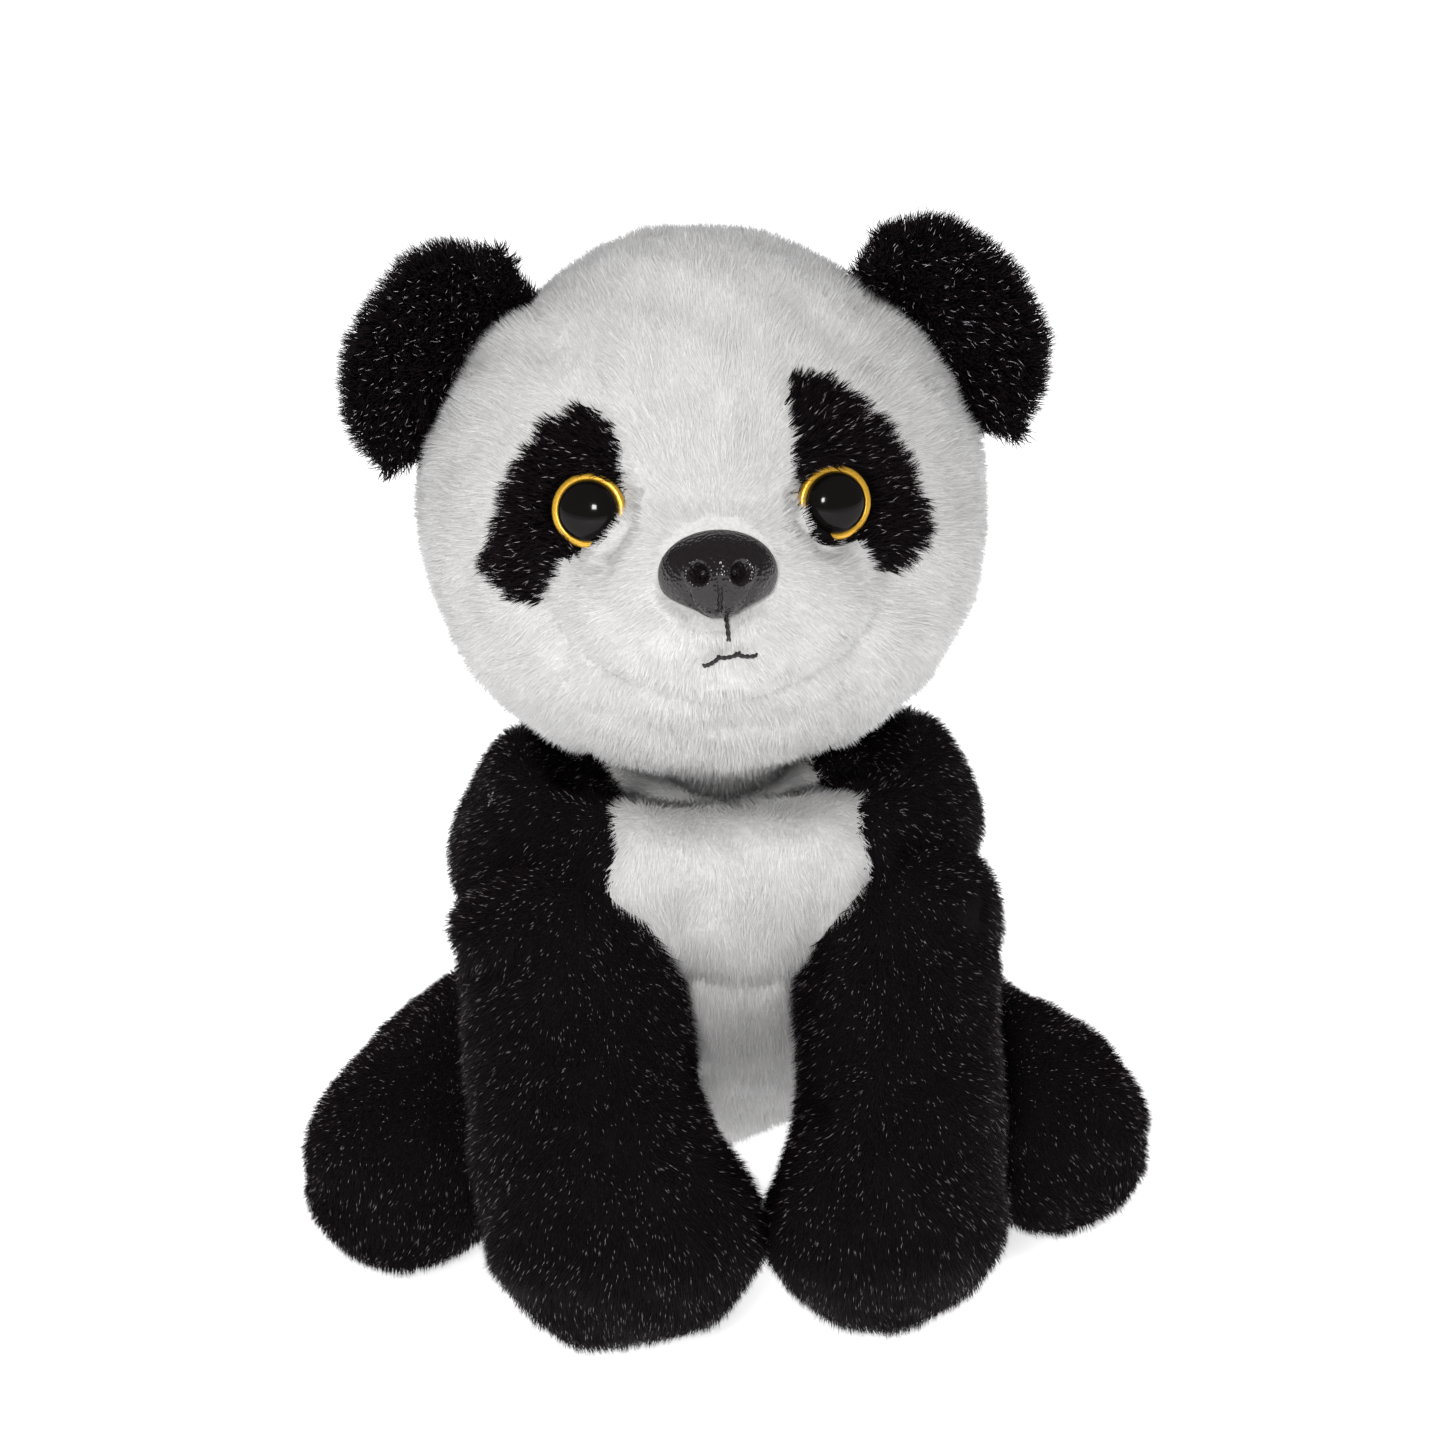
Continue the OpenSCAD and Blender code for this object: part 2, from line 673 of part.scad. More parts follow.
forehead_gusset();
muzzle_panel();
chin_panel();
cheek_panel(1);  // left_cheek_panel
cheek_panel(-1);  // right_cheek_panel
eye_patch(1);  // left_eye_patch
eye_patch(-1);  // right_eye_patch
head_stuffing();
eye_dome(1);  // left_eye_dome
eye_ring(1);  // left_eye_ring
eye_shank(1);  // left_eye_shank
eye_washer(1);  // left_eye_washer
eye_dome(-1);  // right_eye_dome
eye_ring(-1);  // right_eye_ring
eye_shank(-1);  // right_eye_shank
eye_washer(-1);  // right_eye_washer
nose();
nose_washer();
mouth_stitches();
ear_side(1, -1);  // left_ear_front
ear_side(1, 1);  // left_ear_back
ear_side(-1, -1);  // right_ear_front
ear_side(-1, 1);  // right_ear_back
neck_stuffing();
bib_panel();
belly_panel();
shoulder_panel(1);  // left_shoulder_panel
shoulder_panel(-1);  // right_shoulder_panel
flank_panel(1);  // left_flank_panel
flank_panel(-1);  // right_flank_panel
seat_panel();
torso_stuffing();
closing_stitches();
foreleg_side(1, 0, 180);  // left_foreleg_outer
foreleg_side(1, 180, 360);  // left_foreleg_inner
foreleg_sole(1);  // left_foreleg_sole
foreleg_stuffing(1);  // left_foreleg_stuffing
foreleg_side(-1, 0, 180);  // right_foreleg_outer
foreleg_side(-1, 180, 360);  // right_foreleg_inner
foreleg_sole(-1);  // right_foreleg_sole
foreleg_stuffing(-1);  // right_foreleg_stuffing
hindleg_side(1, -90, 90);  // left_hindleg_upper
hindleg_side(1, 90, 270);  // left_hindleg_under
hindleg_stuffing(1);  // left_hindleg_stuffing
hindleg_side(-1, -90, 90);  // right_hindleg_upper
hindleg_side(-1, 90, 270);  // right_hindleg_under
hindleg_stuffing(-1);  // right_hindleg_stuffing
tail_cover();
tail_stuffing();
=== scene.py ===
# Seated plush panda: fur-fabric bodies over stuffing, with moulded eyes and nose.
# Everything is in metres. The panda faces -Y, and its own left side is +X.

import math

import bmesh
import bpy
import numpy as np
from mathutils import Matrix, Vector
from mathutils.bvhtree import BVHTree


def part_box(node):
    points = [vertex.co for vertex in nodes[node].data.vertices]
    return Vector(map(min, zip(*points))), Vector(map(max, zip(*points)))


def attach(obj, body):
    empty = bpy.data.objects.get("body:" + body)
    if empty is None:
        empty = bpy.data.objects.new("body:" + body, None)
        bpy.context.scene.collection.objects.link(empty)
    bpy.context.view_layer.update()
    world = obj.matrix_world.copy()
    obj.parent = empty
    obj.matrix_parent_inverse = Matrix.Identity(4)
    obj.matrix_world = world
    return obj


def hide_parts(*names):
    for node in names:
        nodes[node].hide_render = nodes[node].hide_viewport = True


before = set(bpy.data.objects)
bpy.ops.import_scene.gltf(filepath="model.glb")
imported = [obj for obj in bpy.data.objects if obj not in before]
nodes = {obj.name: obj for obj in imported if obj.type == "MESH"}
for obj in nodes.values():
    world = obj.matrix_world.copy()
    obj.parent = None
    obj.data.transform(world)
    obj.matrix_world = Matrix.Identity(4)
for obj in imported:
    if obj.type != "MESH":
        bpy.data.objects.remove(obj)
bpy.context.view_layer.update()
mm = 0.001

# ---- Studio ---------------------------------------------------------------------------------
# White seamless paper, a small box in front for the eyes' glint, soft boxes above and at the
# sides, and a camera a little above the panda and slightly round to its right.

scene = bpy.context.scene
scene.view_settings.view_transform = "Standard"

world = bpy.data.worlds.new("studio_air")
scene.world = world
world.use_nodes = True
world.node_tree.nodes["Background"].inputs["Color"].default_value = (1, 1, 1, 1)
world.node_tree.nodes["Background"].inputs["Strength"].default_value = 0.26

floor_half = 9.0
bpy.ops.object.select_all(action="DESELECT")
bpy.ops.mesh.primitive_plane_add(size=2 * floor_half, location=(0, 0, -0.0005))
floor = bpy.context.object
floor.name = "floor"
paper = bpy.data.materials.new("seamless_paper")
paper.use_nodes = True
paper_shader = paper.node_tree.nodes["Principled BSDF"]
paper_shader.inputs["Base Color"].default_value = (0.95, 0.95, 0.95, 1)
paper_shader.inputs["Roughness"].default_value = 0.9
paper_shader.inputs["Emission Color"].default_value = (1, 1, 1, 1)
paper_shader.inputs["Emission Strength"].default_value = 0.75
floor.data.materials.append(paper)


def soft_box(name, place, aim, width, height, watts, shiny):
    light = bpy.data.lights.new(name, "AREA")
    light.shape = "RECTANGLE"
    light.size = width
    light.size_y = height
    light.energy = watts
    lamp = bpy.data.objects.new(name, light)
    scene.collection.objects.link(lamp)
    lamp.visible_glossy = shiny
    lamp.location = place
    lamp.rotation_euler = (Vector(aim) - Vector(place)).to_track_quat("-Z", "Y").to_euler()
    return lamp


toy_middle = (0, 0, 0.1)
soft_box("key_box", (-0.3, -1.25, 0.62), toy_middle, 0.2, 0.2, 11, True)
soft_box("top_box", (0, -0.1, 1.3), toy_middle, 1.3, 1.3, 9, False)
soft_box("left_box", (1.1, -0.5, 0.6), toy_middle, 0.7, 0.7, 3.5, False)
soft_box("right_box", (-1.1, -0.4, 0.6), toy_middle, 0.7, 0.7, 3.5, False)

camera_azimuth = math.radians(-8)
camera_height = math.radians(20)
camera_far = 1.5
frame_width = 0.2789
toward_camera = Vector((
    math.sin(camera_azimuth) * math.cos(camera_height),
    -math.cos(camera_azimuth) * math.cos(camera_height),
    math.sin(camera_height)))
camera_turn = (-toward_camera).to_track_quat("-Z", "Y")
camera_aim = Vector(toy_middle) + camera_turn @ Vector((0.00106, 0.00396, 0))
camera_data = bpy.data.cameras.new("camera")
camera_data.sensor_width = 36
camera_data.lens = camera_data.sensor_width * camera_far / frame_width
camera_data.clip_start = 0.05
camera = bpy.data.objects.new("camera", camera_data)
scene.collection.objects.link(camera)
camera.location = camera_aim + toward_camera * camera_far
camera.rotation_euler = camera_turn.to_euler()
scene.camera = camera

# ---- Fur fabric -----------------------------------------------------------------------------
# Knitted backing cloth with a dense polyester pile. The pile is combed one way, lies over at a
# slant, and gathers in small locks. Each hair is painted darker towards its root as painted shade
# deep in the pile, and a few hairs carry a painted glint, a light colour near the tip for sparkle.


def fur_material(name, root, low, tip, spread, painted_glint_colour, painted_glint_share, roughness, specular):
    """Pile colour by a hair's own shade (u) and the way up it (v): painted shade darkens each hair
    towards its root, and a few hairs carry a painted glint near the tip.
    """
    material = bpy.data.materials.new(name)
    material.use_nodes = True
    tree = material.node_tree
    shader = tree.nodes["Principled BSDF"]
    uv = tree.nodes.new("ShaderNodeUVMap")
    uv.uv_map = "OFBake"
    parts = tree.nodes.new("ShaderNodeSeparateXYZ")
    # Painted shade: the ramp up the hair runs from the darkest root through the middle colour to
    # the lightest tip, as shade deep in the pile.
    up = tree.nodes.new("ShaderNodeValToRGB")
    up.color_ramp.elements[0].color = (*root, 1)
    up.color_ramp.elements[1].color = (*tip, 1)
    middle = up.color_ramp.elements.new(0.45)
    middle.color = (*low, 1)
    shade = tree.nodes.new("ShaderNodeMapRange")
    shade.inputs["To Min"].default_value = 1 - spread
    shade.inputs["To Max"].default_value = 1 + spread * 0.6
    mix = tree.nodes.new("ShaderNodeVectorMath")
    mix.operation = "SCALE"
    tree.links.new(uv.outputs["UV"], parts.inputs["Vector"])
    tree.links.new(parts.outputs["Y"], up.inputs["Fac"])
    tree.links.new(parts.outputs["X"], shade.inputs["Value"])
    tree.links.new(up.outputs["Color"], mix.inputs[0])
    tree.links.new(shade.outputs["Result"], mix.inputs["Scale"])
    # Painted glint: a few hairs, picked by their own shade u, get a light colour mixed in over
    # their upper part, a painted highlight that stands in for sparkle.
    painted_glint_hairs = tree.nodes.new("ShaderNodeMath")
    painted_glint_hairs.operation = "GREATER_THAN"
    painted_glint_hairs.inputs[1].default_value = 1 - painted_glint_share
    upper = tree.nodes.new("ShaderNodeMapRange")
    upper.inputs["From Min"].default_value = 0.66
    upper.inputs["From Max"].default_value = 0.8
    painted_glint_amount = tree.nodes.new("ShaderNodeMath")
    painted_glint_amount.operation = "MULTIPLY"
    light = tree.nodes.new("ShaderNodeMix")
    light.data_type = "RGBA"
    light.inputs["B"].default_value = (*painted_glint_colour, 1)
    tree.links.new(parts.outputs["X"], painted_glint_hairs.inputs[0])
    tree.links.new(parts.outputs["Y"], upper.inputs["Value"])
    tree.links.new(painted_glint_hairs.outputs["Value"], painted_glint_amount.inputs[0])
    tree.links.new(upper.outputs["Result"], painted_glint_amount.inputs[1])
    tree.links.new(painted_glint_amount.outputs["Value"], light.inputs["Factor"])
    tree.links.new(mix.outputs["Vector"], light.inputs["A"])
    tree.links.new(light.outputs["Result"], shader.inputs["Base Color"])
    shader.inputs["Roughness"].default_value = roughness
    shader.inputs["Specular IOR Level"].default_value = specular
    return material


# Root, middle and tip colours run dark to light as painted shade in the pile; the light colour and
# share of hairs after the spread are the painted glint.
white_fur = fur_material("white_fur", (0.6, 0.59, 0.58), (0.66, 0.65, 0.645), (0.73, 0.725, 0.73),
                         0.12, (1.0, 1.0, 1.0), 0.2, 0.4, 0.45)
black_fur = fur_material("black_fur", (0.003, 0.002, 0.0025), (0.006, 0.0045, 0.005),
                         (0.010, 0.0052, 0.0075), 0.5, (0.55, 0.5, 0.54), 0.075, 0.35, 0.06)


def backing_material(name, dark, light):
    """The knitted cloth at the foot of the pile, its knit pattern coloured darker than the hair
    tips as painted shade under the pile.
    """
    material = bpy.data.materials.new(name)
    material.use_nodes = True
    tree = material.node_tree
    shader = tree.nodes["Principled BSDF"]
    place = tree.nodes.new("ShaderNodeTexCoord")
    knit = tree.nodes.new("ShaderNodeTexVoronoi")
    knit.inputs["Scale"].default_value = 1400
    ramp = tree.nodes.new("ShaderNodeValToRGB")
    ramp.color_ramp.elements[0].color = (*light, 1)
    ramp.color_ramp.elements[1].color = (*dark, 1)
    tree.links.new(place.outputs["Object"], knit.inputs["Vector"])
    tree.links.new(knit.outputs["Distance"], ramp.inputs["Fac"])
    tree.links.new(ramp.outputs["Color"], shader.inputs["Base Color"])
    shader.inputs["Roughness"].default_value = 0.95
    shader.inputs["Specular IOR Level"].default_value = 0.1
    return material


# The knit runs between these two tones. Both are painted darker than the hair tips, as painted
# shade at the foot of the pile.
backing = {white_fur: backing_material("white_backing", (0.5, 0.49, 0.48), (0.66, 0.65, 0.64)),
           black_fur: backing_material("black_backing", (0.002, 0.0015, 0.002),
                                       (0.006, 0.005, 0.0055))}


def unit(v):
    return v / np.maximum(np.linalg.norm(v, axis=-1, keepdims=True), 1e-12)


def ripple(p, scale, seed):
    """Smooth random waves between about -1 and 1, one value a point."""
    rng = np.random.default_rng(seed)
    total = np.zeros(len(p))
    for _ in range(7):
        way = unit(rng.normal(size=3)) * (2 * math.pi / scale) * rng.uniform(0.6, 1.5)
        total += np.sin(p @ way + rng.uniform(0, 2 * math.pi))
    return total / 2.8


def points_of(mesh):
    co = np.empty(len(mesh.vertices) * 3, np.float32)
    mesh.vertices.foreach_get("co", co)
    return co.reshape(-1, 3).astype(float)


def set_points(mesh, co):
    mesh.vertices.foreach_set("co", co.astype(np.float32).ravel())
    mesh.update()


def triangles_of(mesh):
    mesh.calc_loop_triangles()
    tri = np.empty(len(mesh.loop_triangles) * 3, np.int32)
    mesh.loop_triangles.foreach_get("vertices", tri)
    return tri.reshape(-1, 3)


def vertex_normals(co, tri):
    a, b, c = co[tri[:, 0]], co[tri[:, 1]], co[tri[:, 2]]
    face = np.cross(b - a, c - a)
    total = np.zeros_like(co)
    for corner in range(3):
        np.add.at(total, tri[:, corner], face)
    return unit(total)


def closed_skin(name, node_names, voxel, smooth, balls=()):
    """One closed sheet over the outside of the given CAD nodes and of the balls between them."""
    copies = []
    for place, radius in balls:
        bpy.ops.object.select_all(action="DESELECT")
        bpy.ops.mesh.primitive_ico_sphere_add(subdivisions=4, radius=radius, location=place)
        bpy.ops.object.transform_apply(location=True)
        copies.append(bpy.context.object)
    bpy.ops.object.select_all(action="DESELECT")
    for node_name in node_names:
        copy = bpy.data.objects.new(name, nodes[node_name].data.copy())
        scene.collection.objects.link(copy)
        copies.append(copy)
    for copy in copies:
        copy.select_set(True)
    bpy.context.view_layer.objects.active = copies[0]
    bpy.ops.object.join()
    skin = bpy.context.object
    skin.data.materials.clear()
    bpy.ops.object.mode_set(mode="EDIT")
    bpy.ops.mesh.select_all(action="SELECT")
    bpy.ops.mesh.remove_doubles(threshold=0.00001)
    bpy.ops.object.mode_set(mode="OBJECT")
    remesh = skin.modifiers.new("one_sheet", "REMESH")
    remesh.mode = "VOXEL"
    remesh.voxel_size = voxel
    bpy.ops.object.modifier_apply(modifier=remesh.name)
    keep_largest(skin.data)
    relax = skin.modifiers.new("relax", "SMOOTH")
    relax.factor = 0.5
    relax.iterations = smooth
    bpy.ops.object.modifier_apply(modifier=relax.name)
    return skin


def keep_largest(mesh):
    """Pockets closed off inside the sheet are removed."""
    work = bmesh.new()
    work.from_mesh(mesh)
    work.verts.ensure_lookup_table()
    seen = np.zeros(len(work.verts), bool)
    islands = []
    for start in work.verts:
        if seen[start.index]:
            continue
        seen[start.index] = True
        island = [start]
        for vert in island:
            for edge in vert.link_edges:
                other = edge.other_vert(vert)
                if not seen[other.index]:
                    seen[other.index] = True
                    island.append(other)
        islands.append(island)
    islands.sort(key=len)
    for island in islands[:-1]:
        bmesh.ops.delete(work, geom=island, context="VERTS")
    work.to_mesh(mesh)
    work.free()


def tree_of(node_names):
    """A search tree over the outside of CAD nodes."""
    co, tri, start = [], [], 0
    for node_name in node_names:
        mesh = nodes[node_name].data
        co.append(points_of(mesh))
        tri.append(triangles_of(mesh) + start)
        start += len(mesh.vertices)
    return BVHTree.FromPolygons(np.concatenate(co).tolist(), np.concatenate(tri).tolist())


def distance_to(tree, p):
    far = np.full(len(p), 1.0)
    for i, q in enumerate(p):
        found = tree.find_nearest(q, 0.03)
        if found[0] is not None:
            far[i] = found[3]
    return far


def ironed(co, tri, share, rounds):
    """The cloth eased towards the middle of its neighbours, by each point's own share."""
    ends = np.concatenate([tri[:, [0, 1]], tri[:, [1, 2]], tri[:, [2, 0]]])
    count = np.bincount(ends[:, 0], minlength=len(co))
    for _ in range(rounds):
        mean = np.stack([np.bincount(ends[:, 0], co[ends[:, 1], i], len(co)) for i in range(3)], 1)
        co = co + (mean / count[:, None] - co) * (0.8 * share)[:, None]
    return co


def smooth_step(x, low, high):
    t = np.clip((x - low) / (high - low), 0, 1)
    return t * t * (3 - 2 * t)


class Skin:
    """A body's cloth: its points, triangles, each triangle's panel, and its hair room."""

    def __init__(self, name, panels, filling, pile, voxel=0.0022, smooth=8, extra=(), balls=(),
                 recut=None, press=None, seam=0.0011):
        sheet = closed_skin(name, [*panels, *filling, *extra], voxel, smooth, balls)
        self.co = points_of(sheet.data)
        self.tri = triangles_of(sheet.data)
        bpy.data.objects.remove(sheet)
        self.panels = list(panels)
        middle = self.co[self.tri].mean(1)
        gaps = np.stack([distance_to(tree_of([p]), middle) for p in panels], 1)
        self.panel = gaps.argmin(1)
        if recut:
            recut(self, middle)
        if press:
            self.co = press(self.co, self.tri)
        self.cover = np.full(len(self.co), 1.0)
        self.normal = vertex_normals(self.co, self.tri)
        self.seam_gap = self.distance_to_seams()
        groove = seam * np.exp(-(self.seam_gap / 0.0022) ** 2)
        lumps = 0.0005 * ripple(self.co, 0.02, len(name))
        self.co -= self.normal * (pile + groove - lumps)[:, None]
        self.normal = vertex_normals(self.co, self.tri)

    def meet(self, *others):
        """How far each point is outside the other bodies' cloth; below zero it is inside."""
        for other in others:
            tree = BVHTree.FromPolygons(other.co.tolist(), other.tri.tolist())
            for i, q in enumerate(self.co.tolist()):
                place, normal, _, far = tree.find_nearest(q, 0.02)
                if place is not None:
                    inside = (Vector(q) - place).dot(normal) < 0
                    self.cover[i] = min(self.cover[i], -far if inside else far)

    def distance_to_seams(self):
        edges = np.sort(np.concatenate([self.tri[:, [0, 1]], self.tri[:, [1, 2]],
                                        self.tri[:, [2, 0]]]), axis=1)
        owner = np.tile(np.arange(len(self.tri)), 3)
        order = np.lexsort((edges[:, 1], edges[:, 0]))
        edges, owner = edges[order], owner[order]
        same = (edges[1:] == edges[:-1]).all(1)
        apart = self.panel[owner[1:]] != self.panel[owner[:-1]]
        seam = np.unique(edges[1:][same & apart])
        if len(seam) == 0:
            return np.full(len(self.co), 1.0)
        mid = self.co[seam]
        nearest = np.full(len(self.co), 1.0)
        for start in range(0, len(self.co), 2000):
            block = self.co[start:start + 2000]
            gap = np.linalg.norm(block[:, None, :] - mid[None, :, :], axis=2)
            nearest[start:start + 2000] = gap.min(1)
        return nearest


def hairs(root, normal, way, length, half_width, bend, rng, sides=3):
    """Tapered hairs: a three-cornered root, a bent middle when bend is set, and a tip."""
    count = len(root)
    along = unit(way)
    cross = unit(np.cross(along, unit(rng.normal(size=(count, 3)))))
    other = np.cross(along, cross)
    rows = []
    root_mid = root - normal * 0.0004
    for corner in range(sides):
        angle = 2 * math.pi * corner / sides
        rows.append(root_mid + half_width[:, None] * (math.cos(angle) * cross
                                                      + math.sin(angle) * other))
    if bend is not None:
        elbow = root + (unit(normal + along * 0.7) * (length * 0.5)[:, None])
        for corner in range(sides):
            angle = 2 * math.pi * corner / sides
            rows.append(elbow + 0.75 * half_width[:, None] * (math.cos(angle) * cross
                                                              + math.sin(angle) * other))
        tip = elbow + unit(along + bend) * (length * 0.5)[:, None]
    else:
        tip = root + along * length[:, None]
    rows.append(tip)
    per = len(rows)
    co = np.stack(rows, 1).reshape(-1, 3)
    base = np.arange(count)[:, None] * per
    faces = []
    height = []
    levels = (per - 1) // sides
    for level in range(levels):
        low = level * sides
        for corner in range(sides):
            following = (corner + 1) % sides
            here = [low + corner, low + following]
            if level == levels - 1:
                faces.append(here + [per - 1])
                height.append([level / levels, level / levels, 1.0])
            else:
                above = [low + sides + corner, low + sides + following]
                faces.append([here[0], here[1], above[1]])
                faces.append([here[0], above[1], above[0]])
                height.append([0.0, 0.0, 1 / levels])
                height.append([0.0, 1 / levels, 1 / levels])
    tri = (base[:, :, None] + np.array(faces)[None]).reshape(-1, 3)
    v = np.tile(np.array(height), (count, 1, 1)).reshape(-1, 3)
    shade = np.repeat(rng.uniform(0.02, 0.98, count), len(faces))
    u = shade[:, None] + np.array([-0.004, 0.004, 0.0])[None]
    return co, tri, np.stack([u, v], 2)


def fur_piece(name, skin, panel_names, body, material, slot, comb, length, lay, density,
              half_width=0.00013, clump=0.12, soft=0.0, lock_size=0.0023, long_hair=False,
              keep=None, seed=1, fill=0.8):
    """The cloth of some panels of a skin with its pile, as one piece."""
    rng = np.random.default_rng(seed)
    wanted = [skin.panels.index(p) for p in panel_names]
    mine = np.isin(skin.panel, wanted)
    tri = skin.tri[mine]
    a, b, c = skin.co[tri[:, 0]], skin.co[tri[:, 1]], skin.co[tri[:, 2]]
    area = np.linalg.norm(np.cross(b - a, c - a), axis=1) / 2
    cover = skin.cover[tri].mean(1)
    share = np.where(cover > 0.0002, 1.0, np.where(cover < -0.0045, 0.4, 0.0))
    wish = area * density * 1e6 * share
    number = np.floor(wish + rng.uniform(size=len(wish))).astype(int)
    face = np.repeat(np.arange(len(tri)), number)
    r1, r2 = rng.uniform(size=(2, len(face)))
    flip = r1 + r2 > 1
    r1[flip], r2[flip] = 1 - r1[flip], 1 - r2[flip]
    weight = np.stack([1 - r1 - r2, r1, r2], 1)
    corners = tri[face]

    def at(values):
        if values.ndim == 1:
            return (values[corners] * weight).sum(1)
        return (values[corners] * weight[:, :, None]).sum(1)

    root = at(skin.co)
    normal = unit(at(skin.normal))
    near_seam = np.exp(-(at(skin.seam_gap) / 0.0016) ** 2)
    flow = comb(root)
    flow = flow - (flow * normal).sum(1, keepdims=True) * normal
    flow = unit(flow)
    swirl = np.cross(normal, flow)
    flow = unit(flow + swirl * (0.35 * ripple(root, 0.012, seed + 5))[:, None])
    slant = np.radians(lay) * (1 + 0.16 * ripple(root, 0.009, seed + 9)) \
        + rng.normal(size=len(root)) * 0.16
    way = normal * np.cos(slant)[:, None] + flow * np.sin(slant)[:, None]
    way = unit(way + rng.normal(size=way.shape) * 0.1)
    reach = length * rng.uniform(0.75, 1.12, len(root)) * (1 - 0.2 * near_seam) \
        * (1 + 0.1 * ripple(root, 0.014, seed + 3))
    # Locks: hairs whose roots share a cell lean towards their common tip.
    cell = np.floor((root + 0.0007 * rng.normal(size=root.shape)) / lock_size).astype(np.int64)
    key = cell[:, 0] * 73856093 ^ cell[:, 1] * 19349663 ^ cell[:, 2] * 83492791
    _, lock = np.unique(key, return_inverse=True)
    tip = root + way * reach[:, None]
    size = np.bincount(lock)
    middle = np.stack([np.bincount(lock, tip[:, i]) / size for i in range(3)], 1)
    tip += (middle[lock] - tip) * (clump * rng.uniform(0.3, 1.0, len(root)))[:, None]
    way = tip - root
    reach = np.linalg.norm(way, axis=1)
    if keep is not None:
        good, way, reach = keep(root, unit(way), reach)
        root, normal, way, reach = root[good], normal[good], way[good], reach[good]
    per_hair = 7 if long_hair else 4
    thick = half_width * rng.uniform(0.75, 1.25, len(root))
    bend = None
    if long_hair:
        bend = rng.normal(size=(len(root), 3)) * 0.22
    pile_co, pile_tri, pile_uv = hairs(root, normal, unit(way), reach, thick, bend, rng)

    used, back = np.unique(tri, return_inverse=True)
    cloth_tri = back.reshape(-1, 3)
    cloth_co = skin.co[used]
    cloth_u = rng.uniform(0.02, 0.98, len(tri))[:, None] + np.array([-0.004, 0.004, 0.0])[None]
    cloth_v = np.tile([0.0, 0.0, 0.02], (len(tri), 1))
    cloth_uv = np.stack([cloth_u, cloth_v], 2)
    co = np.concatenate([cloth_co, pile_co])
    faces = np.concatenate([cloth_tri, pile_tri + len(cloth_co)])
    uv = np.concatenate([cloth_uv, pile_uv])
    mesh = bpy.data.meshes.new(name)
    mesh.vertices.add(len(co))
    mesh.vertices.foreach_set("co", co.astype(np.float32).ravel())
    mesh.loops.add(len(faces) * 3)
    mesh.loops.foreach_set("vertex_index", faces.astype(np.int32).ravel())
    mesh.polygons.add(len(faces))
    mesh.polygons.foreach_set("loop_start", np.arange(len(faces), dtype=np.int32) * 3)
    mesh.polygons.foreach_set("use_smooth", np.ones(len(faces), bool))
    layer = mesh.uv_layers.new(name="OFBake")
    layer.data.foreach_set("uv", uv.astype(np.float32).ravel())
    mesh.update(calc_edges=True)
    mesh.materials.append(material)
    mesh.materials.append(backing[material])
    mesh.polygons.foreach_set("material_index",
                              (np.arange(len(faces)) < len(cloth_tri)).astype(np.int32))
    if soft:
        # Light glides over the nap as over one surface, so a hair is lit mostly like its cloth.
        own = np.empty(len(co) * 3, np.float32)
        mesh.vertices.foreach_get("normal", own)
        surface = np.concatenate([skin.normal[used], np.repeat(normal, per_hair, 0)])
        mesh.normals_split_custom_set_from_vertices(
            unit(surface * soft + own.reshape(-1, 3) * (1 - soft)).tolist())
    piece = bpy.data.objects.new(name, mesh)
    scene.collection.objects.link(piece)
    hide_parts(*panel_names)
    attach(piece, body)
    return piece


# ---- Stuffed bodies -------------------------------------------------------------------------
# The cloth of every body is cut from its pattern panels, sewn shut and stuffed until it is firm.
# A leg, the tail and the head are sewn on at a ball of stuffing, which sinks into the body.

fibrefill = bpy.data.materials.new("fibrefill")
fibrefill.use_nodes = True
wool = fibrefill.node_tree
wool_shader = wool.nodes["Principled BSDF"]
wool_shader.inputs["Roughness"].default_value = 0.9
wool_place = wool.nodes.new("ShaderNodeTexCoord")
wool_noise = wool.nodes.new("ShaderNodeTexNoise")
wool_noise.inputs["Scale"].default_value = 500
wool_noise.inputs["Detail"].default_value = 6
wool_ramp = wool.nodes.new("ShaderNodeValToRGB")
wool_ramp.color_ramp.elements[0].color = (0.62, 0.61, 0.58, 1)
wool_ramp.color_ramp.elements[1].color = (0.86, 0.86, 0.84, 1)
wool.links.new(wool_place.outputs["Object"], wool_noise.inputs["Vector"])
wool.links.new(wool_noise.outputs["Fac"], wool_ramp.inputs["Fac"])
wool.links.new(wool_ramp.outputs["Color"], wool_shader.inputs["Base Color"])


def filling(name, node, body, sink):
    """The fibre stuffed into a body: a lumpy mass a little smaller than the cloth round it."""
    mass = closed_skin(name, [node], 0.0035, 4)
    mass.name = name
    co = points_of(mass.data)
    normal = vertex_normals(co, triangles_of(mass.data))
    lumps = sink + 0.0007 * ripple(co, 0.009, len(name))
    set_points(mass.data, co - normal * lumps[:, None])
    bpy.ops.object.shade_smooth()
    mass.data.materials.append(fibrefill)
    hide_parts(node)
    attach(mass, body)


